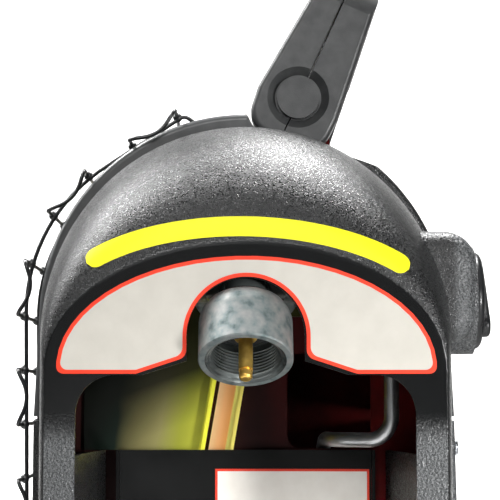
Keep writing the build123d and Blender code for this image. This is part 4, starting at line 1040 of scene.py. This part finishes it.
# Each lamp's place, what it points at, its width, its watts and its spread in degrees.
LAMPS = {
    "overhead": ((-0.21, 0.20, 1.21), (0.14, 0.04, 0.28), 0.32, 1.45, 46),
    "left_lamp": ((-0.07, -0.58, 1.08), (0.15, -0.05, 0.27), 0.30, 0.95, 40),
    "left_side": ((-0.1, -1.0, 0.85), (0.09, 0.0, 0.3), 0.4, 0.4, 40),
    "front_soft": ((1.25, -0.12, 0.85), (0.13, 0.0, 0.24), 0.5, 0.44, 40),
    "front_low": ((1.0, -0.09, 0.10), (0.09, 0.0, 0.18), 0.12, 0.006, 40),
    "front_floor": ((0.55, 0.12, 0.04), (0.15, 0.02, 0.17), 0.1, 0.012, 40),
    "right_low": ((0.95, 0.75, 0.2), (0.158, 0.07, 0.16), 0.2, 0.42, 30),
    "backdrop": ((-1.2, 0.0, 2.2), (-6.0, 0.0, 1.0), 2.5, 170, 120),
    "floor_wash": ((-4.2, 0.0, 2.6), (-4.2, 0.0, 0.0), 2.5, 70, 100),
    "floor_near": ((-1.3, 0.0, 1.9), (-1.3, 0.0, 0.0), 0.8, 3.0, 66),
}


def paper_sheet(name, location, rotation=(0, 0, 0)):
    """Large plane of the studio, which isn't part of the heater."""
    clear_selection()
    bpy.ops.mesh.primitive_plane_add(size=STUDIO_SIZE, location=location, rotation=rotation)
    sheet = named(name)
    settle(sheet)
    finish_with(sheet, paper)


def softbox(name, spot, aim, size, watts, spread_degrees):
    """Round soft lamp; a grid narrows its spread, so little of it spills on the floor."""
    data = bpy.data.lights.new(name, "AREA")
    data.shape = "DISK"
    data.size = size
    data.energy = watts
    data.spread = math.radians(spread_degrees)
    lamp = bpy.data.objects.new(name, data)
    lamp.location = spot
    lamp.rotation_euler = (Vector(aim) - Vector(spot)).to_track_quat("-Z", "Y").to_euler()
    lamp.visible_camera = False
    bpy.context.scene.collection.objects.link(lamp)


paper_sheet("studio_floor", (0, 0, 0))
paper_sheet("studio_wall", (WALL_X, 0, STUDIO_SIZE / 2), (0, math.pi / 2, 0))
for name, settings in LAMPS.items():
    softbox(name, *settings)

world = bpy.data.worlds.new("studio")
bpy.context.scene.world = world
world.use_nodes = True
connect(world.node_tree, world.node_tree.nodes["Background"], {
    "Color": linear(WORLD_COLOUR), "Strength": WORLD_STRENGTH,
})

bpy.context.scene.view_settings.view_transform = "Standard"


# ---------------------------------------------------------------- camera

def camera():
    """Level with the cap's mouth and looking slightly up, as the heater is seen."""
    data = bpy.data.cameras.new("camera")
    data.sensor_width = SENSOR_WIDTH
    data.lens = FOCAL_PIXELS / PICTURE_PIXELS * SENSOR_WIDTH
    data.clip_start, data.clip_end = CLIP_NEAR, CLIP_FAR
    pitch = math.atan(HORIZON_BELOW_MIDDLE / FOCAL_PIXELS)
    yaw = math.atan(VANISHING_LEFT_OF_MIDDLE / FOCAL_PIXELS)
    level = math.cos(pitch)
    aim = Vector((-level * math.cos(yaw), level * math.sin(yaw), math.sin(pitch)))
    view = bpy.data.objects.new("camera", data)
    view.location = (CAMERA_X, 0.0, CAMERA_Z)
    view.rotation_euler = aim.to_track_quat("-Z", "Y").to_euler()
    bpy.context.scene.collection.objects.link(view)
    bpy.context.scene.camera = view


camera()

bpy.context.view_layer.update()
